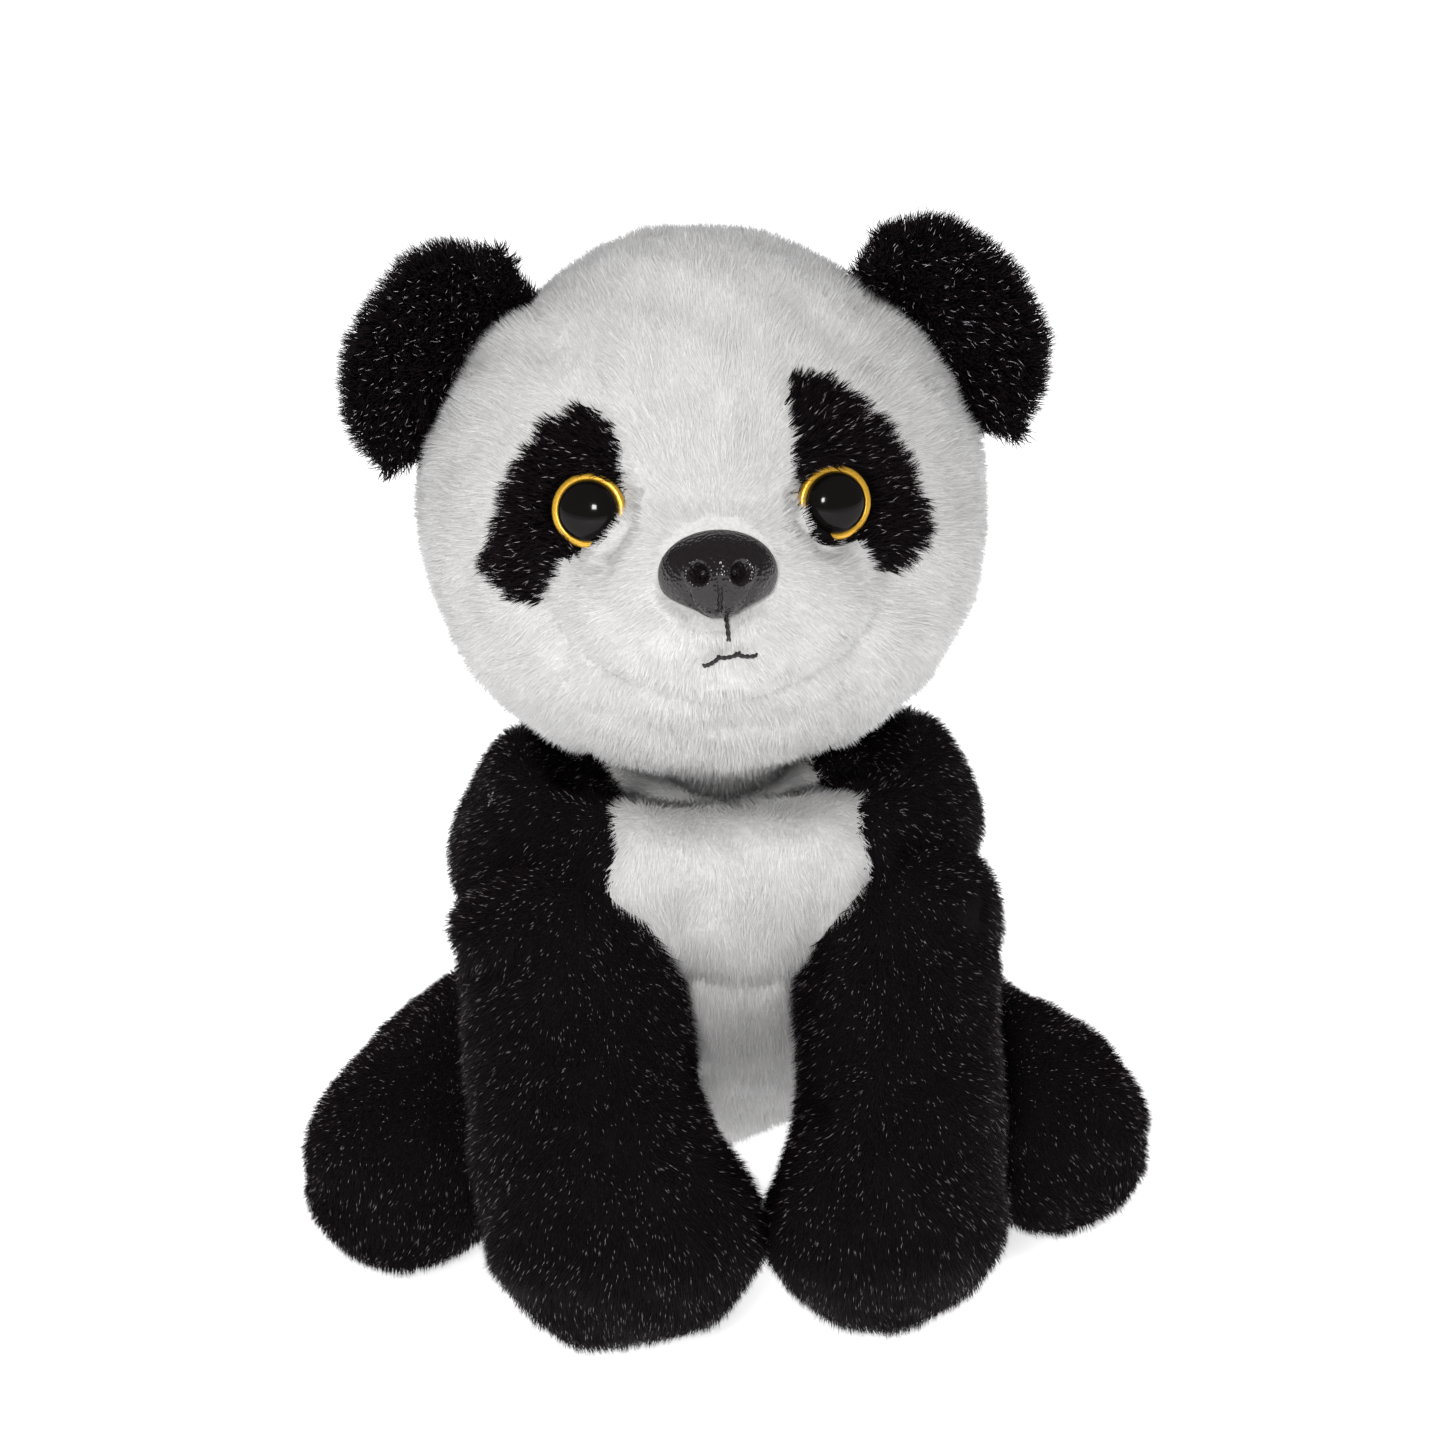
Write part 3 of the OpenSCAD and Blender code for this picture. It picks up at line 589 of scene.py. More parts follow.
head_white = ["forehead_gusset", "muzzle_panel", "chin_panel", "left_cheek_panel",
              "right_cheek_panel"]
head_hard = ["left_eye_dome", "left_eye_ring", "left_eye_shank", "right_eye_dome",
             "right_eye_ring", "right_eye_shank", "nose"]
torso_panels = ["bib_panel", "belly_panel", "left_shoulder_panel", "right_shoulder_panel",
                "left_flank_panel", "right_flank_panel", "seat_panel"]
shoulder_ball = [((side * 0.032, -0.027, 0.069), 0.0195) for side in (1, -1)]
hip_ball = [((side * 0.042, 0.026, 0.0245), 0.0178) for side in (1, -1)]
tail_ball = [((0, 0.064, 0.026), 0.009)]
neck_ball = [((0, 0, 0.106), 0.0165), ((0, -0.012, 0.108), 0.015)]
bib_foot = 0.058
bib_half = 0.0255
shoulder_top = 0.099
shoulder_foot = 0.080
belly_fold = 0.036
fold_deep = 0.0022
throat_forward = 0.0045
throat_up = 0.0048


def near(height, middle, spread):
    """A soft band round a height."""
    return np.exp(-((height - middle) / spread) ** 2)


def recut_bib(skin, middle):
    """The bib's side seams run straight down from the chin, inside the front legs."""
    bib, belly = skin.panels.index("bib_panel"), skin.panels.index("belly_panel")
    front = (middle[:, 1] < 0.012) & (middle[:, 2] > bib_foot)
    half = bib_half - 0.003 * smooth_step(-middle[:, 2], -0.085, -0.062) \
        - 0.006 * smooth_step(middle[:, 1], -0.036, -0.012)
    inner = abs(middle[:, 0] + 0.0005 + 0.0006 * ripple(middle, 0.008, 4)) < half
    skin.panel[front & inner & (skin.panel != belly)] = bib
    outer = front & ~inner & (skin.panel == bib)
    for side, word in ((1, "left"), (-1, "right")):
        skin.panel[outer & (middle[:, 0] * side > 0)] = skin.panels.index(word + "_shoulder_panel")


def round_shoulders(co, tri):
    """The shoulders slope into the front legs, the belly folds, and the bib meets the chin."""
    q = co.copy()
    for side, top_in, foot_out in ((1, 0.0035, 0.003), (-1, 0.005, 0.0055)):
        across = q[:, 0] * side
        corner = near(q[:, 2], shoulder_top, 0.011) * smooth_step(across, 0.028, 0.044)
        waist = near(q[:, 2] - side * 0.004, shoulder_foot, 0.008) \
            * smooth_step(across, 0.03, 0.042) * smooth_step(-q[:, 1], -0.02, 0.02)
        q[:, 0] += np.where(across > 0.02, side * (waist * foot_out - corner * top_in), 0)
    fold = near(q[:, 2], belly_fold, 0.0022) * smooth_step(-q[:, 1], 0.01, 0.03) \
        * (abs(q[:, 0]) < 0.03)
    q[:, 1] += fold_deep * fold
    throat = smooth_step(q[:, 2], 0.078, 0.09) * smooth_step(-q[:, 1], 0.004, 0.03) \
        * smooth_step(-abs(q[:, 0]), -0.034, -0.022)
    q[:, 1] -= throat_forward * throat
    q[:, 2] += throat_up * throat
    return ironed(q, tri, np.maximum(throat, smooth_step(-q[:, 2], -0.014, -0.008)), 14)


def stretch_leg(side):
    """The right front leg is the fuller one, and the left leans in towards it."""
    def press(co, tri):
        q = co.copy()
        leg_middle = side * 0.031
        grow, shift = (0.96, -0.0022) if side > 0 else (1.11, -0.0002)
        share = smooth_step(-q[:, 2], -0.085, -0.05)
        q[:, 0] += share * ((q[:, 0] - leg_middle) * (grow - 1) + shift)
        return ironed(q, tri, smooth_step(-q[:, 2], -0.02, -0.012), 40)
    return press


head_skin = Skin("head_cloth", head_white, ["head_stuffing"], 0.0019,
                 extra=head_hard, balls=neck_ball, seam=0.0006)
torso_skin = Skin("torso_cloth", torso_panels, ["torso_stuffing"], 0.0018, smooth=5,
                  balls=shoulder_ball + hip_ball + tail_ball, recut=recut_bib,
                  press=round_shoulders)
foreleg_skin, hindleg_skin = {}, {}
for side, word in ((1, "left"), (-1, "right")):
    foreleg_skin[word] = Skin(
        word + "_foreleg_cloth", [f"{word}_foreleg_{part}" for part in ("outer", "inner", "sole")],
        [word + "_foreleg_stuffing"], 0.0012, smooth=8, press=stretch_leg(side),
        seam=0.0004)
    hindleg_skin[word] = Skin(
        word + "_hindleg_cloth", [f"{word}_hindleg_{part}" for part in ("upper", "under")],
        [word + "_hindleg_stuffing"], 0.0016, smooth=4)
tail_skin = Skin("tail_cloth", ["tail_cover"], ["tail_stuffing"], 0.0022, voxel=0.0015)

legs = [*foreleg_skin.values(), *hindleg_skin.values()]
torso_skin.meet(*legs, tail_skin)
for leg in legs:
    leg.meet(torso_skin)
tail_skin.meet(torso_skin)
head_skin.meet(torso_skin)

filling("head_filling", "head_stuffing", "head", 0.001)
filling("neck_filling", "neck_stuffing", "neck", 0.0045)
filling("torso_filling", "torso_stuffing", "torso", 0.001)
for word in ("left", "right"):
    filling(word + "_foreleg_filling", word + "_foreleg_stuffing", word + "_foreleg", 0.001)
    filling(word + "_hindleg_filling", word + "_hindleg_stuffing", word + "_hindleg", 0.001)
filling("tail_filling", "tail_stuffing", "tail", 0.0005)

# ---- Head -----------------------------------------------------------------------------------
# Five white panels over a firmly stuffed ball: a gusset over the crown, a round muzzle, a chin
# and two cheeks, with a black patch of fur let in round each eye. The pile is combed away from
# the nose.

head_turn = math.radians(5)
head_tilt = math.radians(1)
head_place = Vector((-0.0035, -0.005, 0.15))
head_frame = (Matrix.Translation(head_place) @ Matrix.Rotation(-head_turn, 4, "Z")
              @ Matrix.Rotation(-head_tilt, 4, "Y"))
head_rot = np.array(head_frame.to_3x3())
head_mid = np.array(head_place)


def to_head(p):
    return (p - head_mid) @ head_rot


def from_head(p):
    return p @ head_rot.T + head_mid


eye_place = np.array([0.0226, -0.0393, 0.013])
eye_r = 0.007
nose_place = np.array([0, -0.0585, 0.0065])


def eye_frame(side):
    """Place and turn of an eye in the head: its third axis points out of the face."""
    place = eye_place * [side, 1, 1]
    turn = (Matrix.Rotation(math.radians(15) * side, 3, "Z")
            @ Matrix.Rotation(math.radians(76), 3, "X"))
    return place, np.array(turn)


# The muzzle bulges over a fold, and the crown rises a little. The cloth is pressed flat behind the
# eyes and the nose, and the muzzle's padding stands up as a lid over each eye's lower inner part.


def lid_share(q, side):
    """How much a place round an eye, in the eye's own frame, belongs to its lower inner lid."""
    angle = np.arctan2(-q[:, 1], -side * q[:, 0])
    return smooth_step(np.cos(angle - math.radians(42)), 0.62, 0.86)


muzzle_half_wide, muzzle_half_tall, muzzle_drop = 0.029, 0.0175, 0.0015
crown_rise = 0.0026
nose_half_wide, nose_half_tall = 0.0108, 0.0082

local = to_head(head_skin.co)
muzzle = np.hypot(local[:, 0] / muzzle_half_wide, (local[:, 2] + muzzle_drop) / muzzle_half_tall)
jowl = smooth_step(-local[:, 2], -0.008, 0.004) * (local[:, 1] < -0.02)
bulge = 0.0024 * np.exp(-((muzzle - 0.8) / 0.2) ** 2) \
    - 0.002 * np.exp(-((muzzle - 1.12) / 0.12) ** 2)
local += unit(local) * (bulge * jowl)[:, None]
crown = np.exp(-((local[:, 0] + 0.001) / 0.016) ** 4 - ((local[:, 1] + 0.008) / 0.03) ** 2)
local[:, 2] += crown_rise * crown * smooth_step(local[:, 2], 0.03, 0.05)
for side in (1, -1):
    place, turn = eye_frame(side)
    q = (local - place) @ turn
    off = np.hypot(q[:, 0], q[:, 1])
    lid = lid_share(q, side)
    press = (off < 0.0105) & (q[:, 2] > -0.012)
    most = -0.0012 + np.clip(off - eye_r, 0, 1) * 0.7
    q[press, 2] = np.minimum(q[press, 2], most[press])
    height = lid * np.interp(off, [0.0044, 0.0058, 0.0085, 0.013], [-0.0008, 0.0028, 0.0036, 0.0])
    raised = (off > 0.0044) & (off < 0.013) & (lid > 0) & (q[:, 2] > -0.012)
    q[raised, 2] = np.maximum(q[raised, 2], height[raised] + np.minimum(
        q[raised, 2], 0) * (1 - lid[raised]))
    local[press | raised] = (q @ turn.T + place)[press | raised]
q = local - nose_place
off = np.hypot(q[:, 0] / nose_half_wide, q[:, 2] / nose_half_tall)
press = (off < 1.3) & (q[:, 1] < 0.012)
most = 0.0012 - np.clip(off - 1, 0, 1) * 0.02
q[press, 1] = np.maximum(q[press, 1], most[press])
local[press] = (q + nose_place)[press]
head_skin.co = from_head(local)
head_skin.normal = vertex_normals(head_skin.co, head_skin.tri)

# Each patch is cut by hand with a ragged outline: higher at the top inner corner, drawn down and
# out to the cheek, and overlapped by the muzzle's pile below the eye.
patch_outline = {
    "left_eye_patch": ((0, 13.0), (35, 15.5), (65, 19.0), (84, 25.5), (100, 30.0), (112, 24.0),
                       (128, 19.0), (150, 16.5), (180, 14.5), (205, 10.0), (235, 9.0), (252, 14.0),
                       (270, 18.0), (300, 18.5), (330, 14.5), (360, 13.0)),
    "right_eye_patch": ((0, 12.0), (35, 15.0), (65, 19.0), (90, 22.0), (115, 19.5), (145, 14.0),
                        (180, 12.5), (205, 9.0), (232, 9.0), (248, 16.0), (265, 22.5),
                        (292, 23.5), (312, 19.0), (330, 15.0), (360, 12.5))}
patch_lat, patch_lon, patch_slant = 35.0, 18.0, math.radians(24)
middle = to_head(head_skin.co[head_skin.tri].mean(1))
radius = np.linalg.norm(middle, axis=1)
for name, outline in patch_outline.items():
    side = 1 if name.startswith("left") else -1
    lat = np.degrees(np.arcsin(np.clip(middle[:, 0] * side / radius, -1, 1)))
    lon = np.degrees(np.arctan2(middle[:, 2], -middle[:, 1]))
    over, up = lat - patch_lat, (lon - patch_lon) * math.cos(math.radians(patch_lat))
    across = over * math.cos(patch_slant) + up * math.sin(patch_slant)
    along = -over * math.sin(patch_slant) + up * math.cos(patch_slant)
    angle = np.degrees(np.arctan2(along, across)) % 360
    edge = np.interp(angle, *zip(*outline)) + 0.8 * ripple(middle, 0.005, 3 + side)
    head_skin.panels.append(name)
    head_skin.panel[(np.hypot(across, along) < edge) & (abs(lon) < 90)] = \
        len(head_skin.panels) - 1
head_skin.seam_gap = head_skin.distance_to_seams()


def comb_head(p):
    """Away from the nose, and down a little on the sides of the head."""
    away = p - from_head(nose_place + np.array([0, 0.004, 0]))
    return unit(away) + np.array([0, 0, -0.15])


def clear_face(white):
    """Hairs stay off the eyes and the nose, but for the lid over an eye's lower inner side."""
    def keep(root, way, reach):
        good = np.ones(len(root), bool)
        r = to_head(root)
        t = to_head(root + way * reach[:, None])
        for side in (1, -1):
            place, turn = eye_frame(side)
            q = (r - place) @ turn
            e = (t - place) @ turn
            lid = (lid_share(q, side) > 0.35) & white
            inner_edge = np.where(lid, 0.0054, eye_r + 0.0002)
            good &= ~((np.hypot(q[:, 0], q[:, 1]) < inner_edge) & (q[:, 2] > -0.006))
            tip_edge = np.where(lid, 0.0040, eye_r - 0.0003)
            good &= ~((np.hypot(e[:, 0], e[:, 1]) < tip_edge) & (e[:, 2] > -0.004))
        for point in (r, t):
            q = point - nose_place
            on_nose = np.hypot(q[:, 0] / nose_half_wide, q[:, 2] / nose_half_tall) < 0.97
            good &= ~(on_nose & (q[:, 1] < 0.01))
        return good, way, reach
    return keep


white_head = dict(material=white_fur, slot="white_fur", comb=comb_head, length=0.0030, lay=60,
                  density=5.4, soft=0.6, keep=clear_face(True))
for piece_name, panel, seed in (
        ("forehead_fur", "forehead_gusset", 11), ("muzzle_fur", "muzzle_panel", 12),
        ("chin_fur", "chin_panel", 13), ("left_cheek_fur", "left_cheek_panel", 14),
        ("right_cheek_fur", "right_cheek_panel", 15)):
    fur_piece(piece_name, head_skin, [panel], "head", seed=seed, **white_head)
for piece_name, panel, seed in (("left_patch_fur", "left_eye_patch", 16),
                                ("right_patch_fur", "right_eye_patch", 17)):
    fur_piece(piece_name, head_skin, [panel], "head", black_fur, "black_fur", comb_head, 0.0046,
              48, 6.5, long_hair=True, keep=clear_face(False), seed=seed)

# ---- Eyes -----------------------------------------------------------------------------------
# Safety eyes: a black domed button in a gold-painted rim, on a stem that a washer locks inside
# the head.


def plain_material(name, colour, roughness, metallic=0.0, coat=0.0):
    material = bpy.data.materials.new(name)
    material.use_nodes = True
    shader = material.node_tree.nodes["Principled BSDF"]
    shader.inputs["Base Color"].default_value = (*colour, 1)
    shader.inputs["Roughness"].default_value = roughness
    shader.inputs["Metallic"].default_value = metallic
    shader.inputs["Coat Weight"].default_value = coat
    shader.inputs["Coat Roughness"].default_value = 0.05
    return material


def add_grain(material, kind, scale, strength, distance, painted_hollow_shade=0.0):
    """Fine relief over a moulded or painted surface, with painted shade: the tone follows the
    relief, its hollows coloured a shade darker and its crests lighter.
    """
    tree = material.node_tree
    shader = tree.nodes["Principled BSDF"]
    place = tree.nodes.new("ShaderNodeTexCoord")
    if kind == "cells":
        grain = tree.nodes.new("ShaderNodeTexVoronoi")
        height = grain.outputs["Distance"]
    else:
        grain = tree.nodes.new("ShaderNodeTexNoise")
        grain.inputs["Detail"].default_value = 4
        height = grain.outputs["Fac"]
    grain.inputs["Scale"].default_value = scale
    bump = tree.nodes.new("ShaderNodeBump")
    bump.inputs["Strength"].default_value = strength
    bump.inputs["Distance"].default_value = distance
    tree.links.new(place.outputs["Object"], grain.inputs["Vector"])
    tree.links.new(height, bump.inputs["Height"])
    tree.links.new(bump.outputs["Normal"], shader.inputs["Normal"])
    # Painted shade: the base colour follows the relief, darker in its hollows and lighter on its
    # crests.
    if painted_hollow_shade:
        colour = shader.inputs["Base Color"].default_value[:3]
        ramp = tree.nodes.new("ShaderNodeValToRGB")
        ramp.color_ramp.elements[0].color = (*[c * (1 - painted_hollow_shade) for c in colour], 1)
        ramp.color_ramp.elements[1].color = (*[min(1, c * (1 + painted_hollow_shade)) for c in colour], 1)
        tree.links.new(height, ramp.inputs["Fac"])
        tree.links.new(ramp.outputs["Color"], shader.inputs["Base Color"])


black_plastic = plain_material("black_plastic", (0.004, 0.003, 0.003), 0.1)
black_plastic.node_tree.nodes["Principled BSDF"].inputs["Specular IOR Level"].default_value = 0.13
gold_paint = plain_material("gold_paint", (0.8, 0.4, 0.035), 0.32, metallic=0.6, coat=0.3)
add_grain(gold_paint, "noise", 2500, 0.5, 0.0001, 0.45)
washer_plastic = plain_material("washer_plastic", (0.78, 0.78, 0.75), 0.4)
add_grain(washer_plastic, "noise", 1500, 0.15, 0.0001, 0.05)


def lathe(name, profile, steps):
    """A profile of (radius, height) in mm spun round the third axis."""
    mesh = bpy.data.meshes.new(name)
    closed = [(r * mm, 0, z * mm) for r, z in profile]
    loop = [(i, (i + 1) % len(closed)) for i in range(len(closed) if profile[0][0] else
                                                      len(closed) - 1)]
    mesh.from_pydata(closed, loop, [])
    part = bpy.data.objects.new(name, mesh)
    scene.collection.objects.link(part)
    bpy.ops.object.select_all(action="DESELECT")
    part.select_set(True)
    bpy.context.view_layer.objects.active = part
    bpy.ops.object.mode_set(mode="EDIT")
    bpy.ops.mesh.select_all(action="SELECT")
    bpy.ops.mesh.spin(steps=steps, angle=2 * math.pi, center=(0, 0, 0), axis=(0, 0, 1))
    bpy.ops.mesh.select_all(action="SELECT")
    bpy.ops.mesh.remove_doubles(threshold=0.00001)
    bpy.ops.mesh.normals_make_consistent(inside=False)
    bpy.ops.object.mode_set(mode="OBJECT")
    bpy.ops.object.shade_smooth_by_angle(angle=math.radians(50))
    return part


def put_in_head(part, place, turn):
    matrix = head_frame @ (Matrix.Translation(Vector(place)) @ Matrix(turn).to_4x4())
    part.data.transform(matrix)
    part.data.update()


rim_profile = [(5.73, 0.05), (7.0, 0.05), (7.0, 0.7), (6.92, 0.95), (6.7, 1.15), (6.4, 1.24),
               (6.05, 1.27), (5.8, 1.22), (5.73, 1.1)]
dome_profile = [(0, 0.05), (5.7, 0.05), (5.7, 1.25)] + [
    (5.7 * math.cos(math.radians(a)), 1.25 + 3.15 * math.sin(math.radians(a)) ** 0.92)
    for a in (6, 12, 18, 24, 30, 36, 42, 48, 54, 60, 66, 72, 78, 84)] + [(0, 4.4)]
for side, word in ((1, "left"), (-1, "right")):
    place, turn = eye_frame(side)
    for part_name, profile, finish, slot in (
            ("ring", rim_profile, gold_paint, "gold_paint"),
            ("dome", dome_profile, black_plastic, "black_plastic")):
        part = lathe(f"{word}_eye_{part_name}_moulded", profile, 72)
        put_in_head(part, place, turn.tolist())
        part.data.materials.append(finish)
        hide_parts(f"{word}_eye_{part_name}")
        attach(part, "head")
    nodes[word + "_eye_shank"].data.materials[0] = black_plastic
    nodes[word + "_eye_washer"].data.materials[0] = washer_plastic

# ---- Nose -----------------------------------------------------------------------------------
# A soft moulded nose with a leather grain: a wide dome, two round nostrils with raised rims, and
# a narrower lip below that is split down the middle.

nose_plastic = plain_material("nose_plastic", (0.007, 0.0045, 0.0055), 0.2)
nose_plastic.node_tree.nodes["Principled BSDF"].inputs["Specular IOR Level"].default_value = 0.4
add_grain(nose_plastic, "cells", 1500, 0.8, 0.0002, 0.3)

bpy.ops.object.select_all(action="DESELECT")
bpy.ops.mesh.primitive_cube_add(size=2)
nose = bpy.context.object
nose.name = "nose_moulded"
bpy.ops.object.mode_set(mode="EDIT")
bpy.ops.mesh.select_all(action="SELECT")
bpy.ops.mesh.subdivide(number_cuts=54)
bpy.ops.object.mode_set(mode="OBJECT")
way = unit(points_of(nose.data))
low = np.clip(-way[:, 2], 0, 1)
wide = 11.0 * (1 - 0.42 * smooth_step(low, 0.25, 0.95))
deep = np.where(way[:, 1] < 0, 8.5, 2.2)
ball = 1 / np.linalg.norm(way / np.stack([wide, deep, np.full(len(way), 8.4)], 1), axis=1)
p = way * ball[:, None]
front = smooth_step(-way[:, 1], 0.1, 0.5)
x, z = np.abs(p[:, 0]), p[:, 2]
nostril = np.hypot(x - 3.8, (z - 2.6) * 0.95)
change = -2.6 * np.exp(-(nostril / 1.5) ** 4)
change += 0.5 * np.exp(-((nostril - 2.25) / 0.55) ** 2) * (1 - 0.6 * smooth_step(z, 3.2, 4.8))
crease_x = 5.9 - 0.11 * (z + 1.0) ** 2
change -= 0.6 * np.exp(-((x - crease_x) / 0.5) ** 2) * smooth_step(-z, 0.0, 1.6)
change -= 0.75 * np.exp(-(x / 0.42) ** 2) * smooth_step(-z, -3.0, 0.6)
change -= 0.18 * np.exp(-(x / 0.6) ** 2) * smooth_step(z, 2.5, 4.0)
change += 0.45 * np.exp(-((x - 1.9) / 1.3) ** 2 - ((z + 4.4) / 2.0) ** 2)
p = p + way * (change * front)[:, None]
nose_shape = (p * mm + nose_place)
set_points(nose.data, from_head(nose_shape))
bpy.ops.object.shade_smooth()
nose.data.materials.append(nose_plastic)
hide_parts("nose")
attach(nose, "head")
nodes["nose_washer"].data.materials[0] = washer_plastic

# ---- Stitches -------------------------------------------------------------------------------
# Black embroidery thread for the mouth, and white thread laced down the closing seam: two plies
# twisted together, dipping into the pile at both ends.


def thread_material(name, colour):
    material = plain_material(name, colour, 0.6)
    add_grain(material, "noise", 3000, 0.3, 0.0001, 0.35)
    return material


black_thread = thread_material("black_thread", (0.012, 0.011, 0.012))
white_thread = thread_material("white_thread", (0.72, 0.72, 0.7))


def stitch_lines(a, b, out, arch, ply_r, twist):
    """The paths of a stitch's two plies from a to b, standing out of the pile in between."""
    a, b, out = np.array(a), np.array(b), np.array(out)
    along = unit(b - a)
    cross = np.cross(along, out)
    lines = []
    for ply in (0, math.pi):
        t = np.linspace(0, 1, 21)
        mid = a + (b - a) * t[:, None] + out * (arch * (np.sin(t * math.pi) ** 0.6 - 0.75))[:, None]
        turn = t * twist * 2 * math.pi + ply
        lines.append(mid + ply_r * (np.cos(turn)[:, None] * cross + np.sin(turn)[:, None] * out))
    return lines


def thread_piece(name, lines, radius, material):
    curve = bpy.data.curves.new(name, "CURVE")
    curve.dimensions = "3D"
    curve.bevel_depth = radius
    curve.bevel_resolution = 2
    curve.use_fill_caps = True
    for line in lines:
        spline = curve.splines.new("POLY")
        spline.points.add(len(line) - 1)
        spline.points.foreach_set("co", np.hstack([line, np.ones((len(line), 1))]).ravel())
    thread = bpy.data.objects.new(name, curve)
    scene.collection.objects.link(thread)
    bpy.ops.object.select_all(action="DESELECT")
    thread.select_set(True)
    bpy.context.view_layer.objects.active = thread
    bpy.ops.object.convert(target="MESH")
    thread = bpy.context.object
    thread.data.materials.append(material)
    bpy.ops.object.shade_smooth()
    return thread


def on_face(x, z):
    """A place at the tips of the muzzle's pile, from its x and z in the head, in mm."""
    tree = on_face.tree
    origin = from_head(np.array([x * mm, -0.09, z * mm]))
    hit = tree.ray_cast(origin.tolist(), (head_rot @ np.array([0, 1.0, 0])).tolist())
    return np.array(hit[0]) + np.array(hit[1]) * 0.0024, np.array(hit[1])


on_face.tree = BVHTree.FromPolygons(head_skin.co.tolist(), head_skin.tri.tolist())
mouth_lines = []
for a, b in (((1.1, -2.7), (1.5, -4.5)), ((-2.6, -10.0), (0.2, -8.0)),
             ((-0.2, -8.1), (3.4, -7.6)), ((2.9, -7.6), (6.2, -8.2))):
    (pa, na), (pb, nb) = on_face(*a), on_face(*b)
    mouth_lines += stitch_lines(pa, pb, unit(na + nb), 0.0009, 0.0002, 2)
mouth = thread_piece("mouth_thread", mouth_lines, 0.00026, black_thread)
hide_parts("mouth_stitches")
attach(mouth, "head")

# ---- Ears -----------------------------------------------------------------------------------
# Two black panels sewn face to face and set in the head's side seams. The pile stands up and
# outwards in loose tufts.

for side, word in ((1, "left"), (-1, "right")):
    panels = [word + "_ear_front", word + "_ear_back"]
    ear_skin = Skin(word + "_ear_cloth", panels, [], 0.0019, voxel=0.0009, smooth=6)
    # The ear's foot is gathered into the seam, under the head's pile.
    p = to_head(ear_skin.co)
    out = np.hypot(p[:, 0] / 0.055, p[:, 2] / 0.053)
    pull = 0.0062 * (1 - smooth_step(out, 1.02, 1.3))
    flat = p * [1, 0, 1]
    ear_skin.co = from_head(p - unit(flat) * pull[:, None])
    ear_skin.normal = vertex_normals(ear_skin.co, ear_skin.tri)
    ear_root = from_head(np.array([side * 0.03, 0.004, 0.022]))

    def comb_ear(p):
        return unit(p - ear_root)

    for piece_name, panel, seed in ((word + "_ear_front_fur", panels[0], 21 + side),
                                    (word + "_ear_back_fur", panels[1], 25 + side)):
        fur_piece(piece_name, ear_skin, [panel], word + "_ear", black_fur, "black_fur", comb_ear,
                  0.0062, 34, 5.5, clump=0.7, lock_size=0.0034, long_hair=True, seed=seed,
                  fill=0.3)

# ---- Body -----------------------------------------------------------------------------------
# A stuffed bag: white bib and belly in front with a crease between them, black shoulders joined
# down the back, white flanks below, and a flat oval seat.


def comb_down(p):
    return np.tile(np.array([0, 0, -1.0]), (len(p), 1)) + unit(p * [1, 1, 0]) * 0.2


white_body = dict(material=white_fur, slot="white_fur", comb=comb_down, length=0.0032, lay=62,
                  density=4.9, soft=0.6)
black_body = dict(material=black_fur, slot="black_fur", comb=comb_down, length=0.0034, lay=52,
                  density=4.9)
for piece_name, panel, kind, seed in (
        ("bib_fur", "bib_panel", white_body, 31), ("belly_fur", "belly_panel", white_body, 32),
        ("left_shoulder_fur", "left_shoulder_panel", black_body, 33),
        ("right_shoulder_fur", "right_shoulder_panel", black_body, 34),
        ("left_flank_fur", "left_flank_panel", white_body, 35),
        ("right_flank_fur", "right_flank_panel", white_body, 36),
        ("seat_fur", "seat_panel", white_body, 37)):
    fur_piece(piece_name, torso_skin, [panel], "torso", seed=seed, **kind)

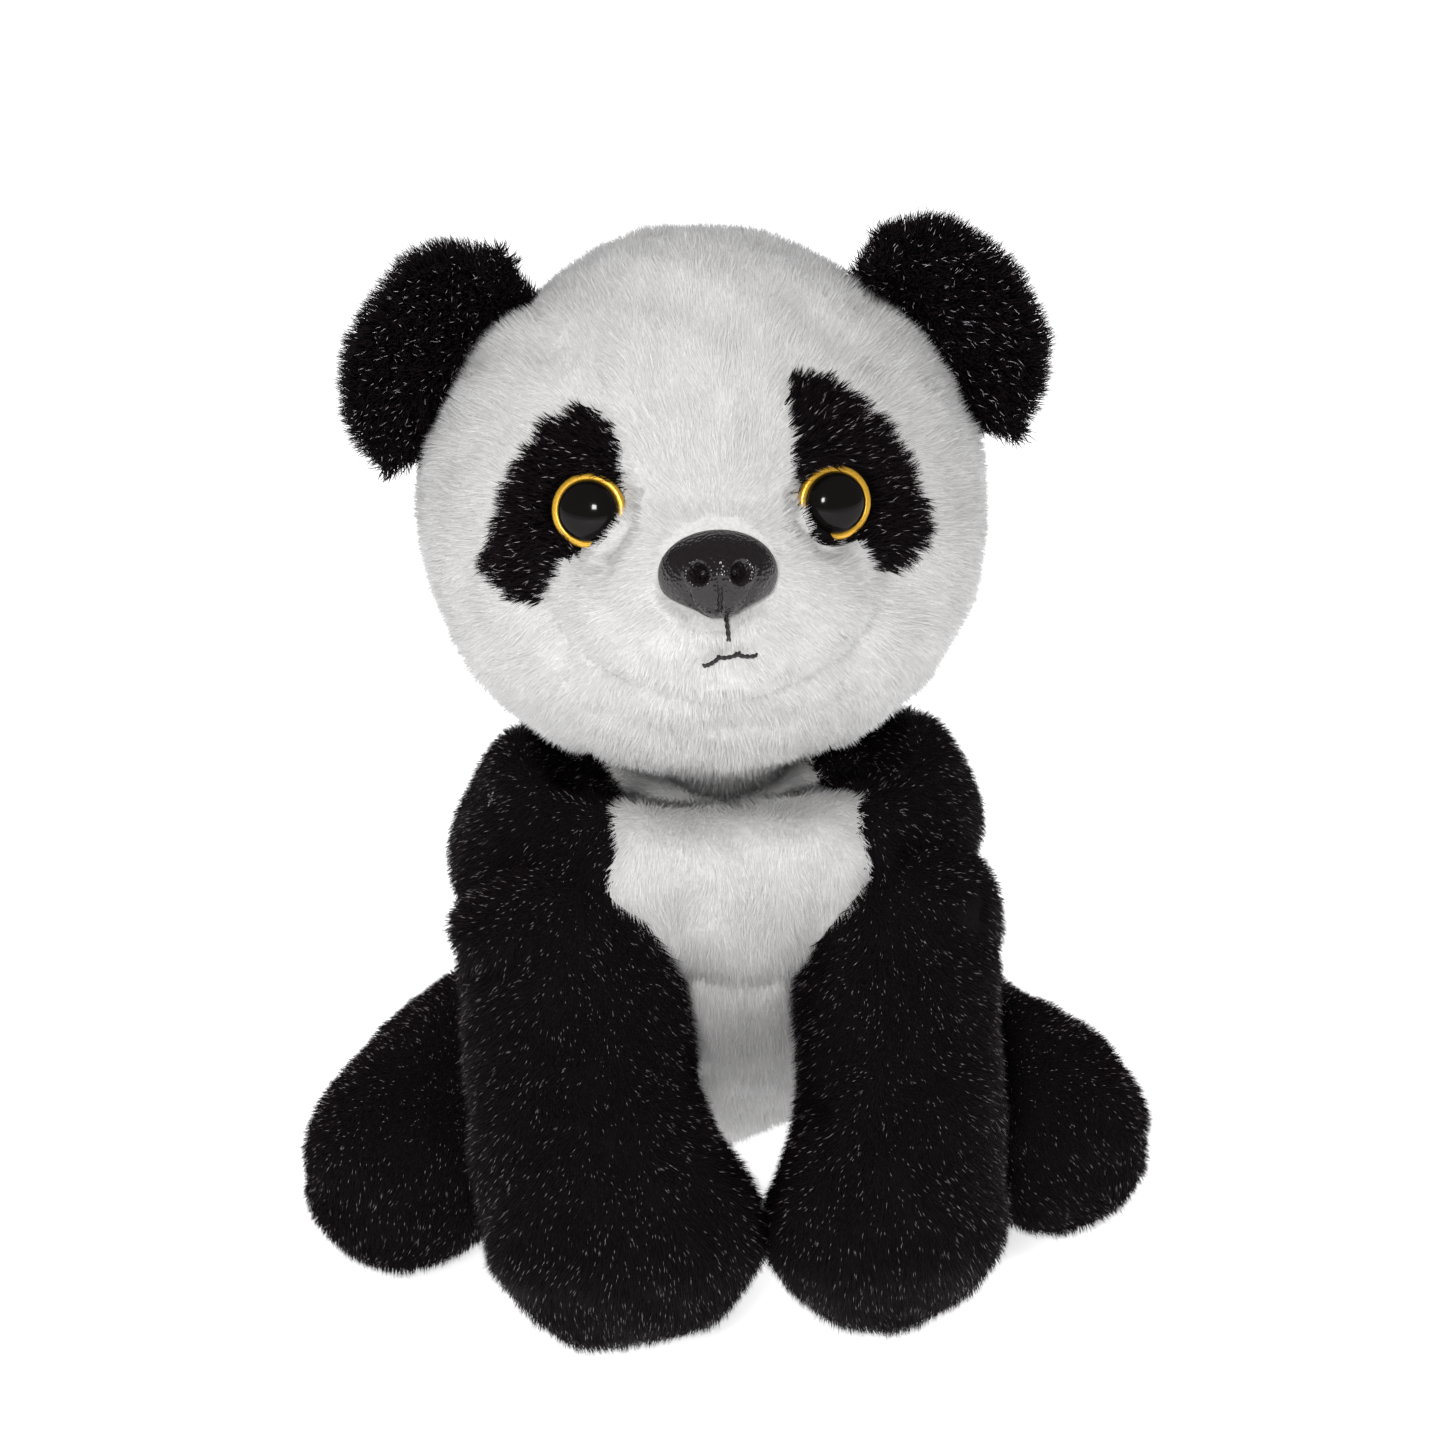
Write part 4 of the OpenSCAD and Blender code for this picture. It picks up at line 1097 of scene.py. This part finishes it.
back_tree = BVHTree.FromPolygons(torso_skin.co.tolist(), torso_skin.tri.tolist())
low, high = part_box("closing_stitches")
closing_lines = []
for z in np.arange(low.z + 0.002, high.z - 0.001, 0.0036):
    ends = []
    for x, lift in ((-0.0022, 0), (0.0022, 0.0014)):
        hit = back_tree.ray_cast((x, 0.12, z + lift), (0, -1, 0))
        ends.append((np.array(hit[0]) + np.array(hit[1]) * 0.0022, np.array(hit[1])))
    closing_lines += stitch_lines(ends[0][0], ends[1][0], unit(ends[0][1] + ends[1][1]), 0.0006,
                                  0.00014, 3)
closing = thread_piece("closing_thread", closing_lines, 0.00018, white_thread)
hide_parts("closing_stitches")
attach(closing, "torso")

# ---- Front legs -----------------------------------------------------------------------------
# An outer and an inner panel round a long firm filling, closed by an oval sole under the paw.


def comb_paw(side):
    """Down the leg, and round under the paw towards the middle of its sole."""
    def comb(p):
        inward = unit(np.array([side * 0.0255, -0.056, 0]) - p * [1, 1, 0])
        return comb_down(p) + inward * (1.6 * smooth_step(-p[:, 2], -0.013, -0.003))[:, None]
    return comb


for side, word in ((1, "left"), (-1, "right")):
    leg = foreleg_skin[word]
    for part, seed in (("outer", 41 + side), ("inner", 44 + side), ("sole", 47 + side)):
        fur_piece(f"{word}_foreleg_{part}_fur", leg, [f"{word}_foreleg_{part}"],
                  word + "_foreleg", seed=seed, **{**black_body, "comb": comb_paw(side)})

# ---- Hind legs ------------------------------------------------------------------------------
# An upper and an under panel round a filling, from the hip out to the toes.

for side, word in ((1, "left"), (-1, "right")):
    leg = hindleg_skin[word]

    def comb_toes(p):
        return np.tile(np.array([0.35 * side, -0.8, -0.5]), (len(p), 1))

    for part, seed in (("upper", 51 + side), ("under", 54 + side)):
        fur_piece(f"{word}_hindleg_{part}_fur", leg, [f"{word}_hindleg_{part}"],
                  word + "_hindleg", seed=seed, **{**black_body, "comb": comb_toes})

# ---- Tail -----------------------------------------------------------------------------------
# A small white ball of fur fabric with its own pinch of filling.

tail_root = np.array([0, 0.055, 0.03])


def comb_tail(p):
    return unit(p - tail_root)


fur_piece("tail_fur", tail_skin, ["tail_cover"], "tail",
          **{**white_body, "comb": comb_tail, "seed": 61})
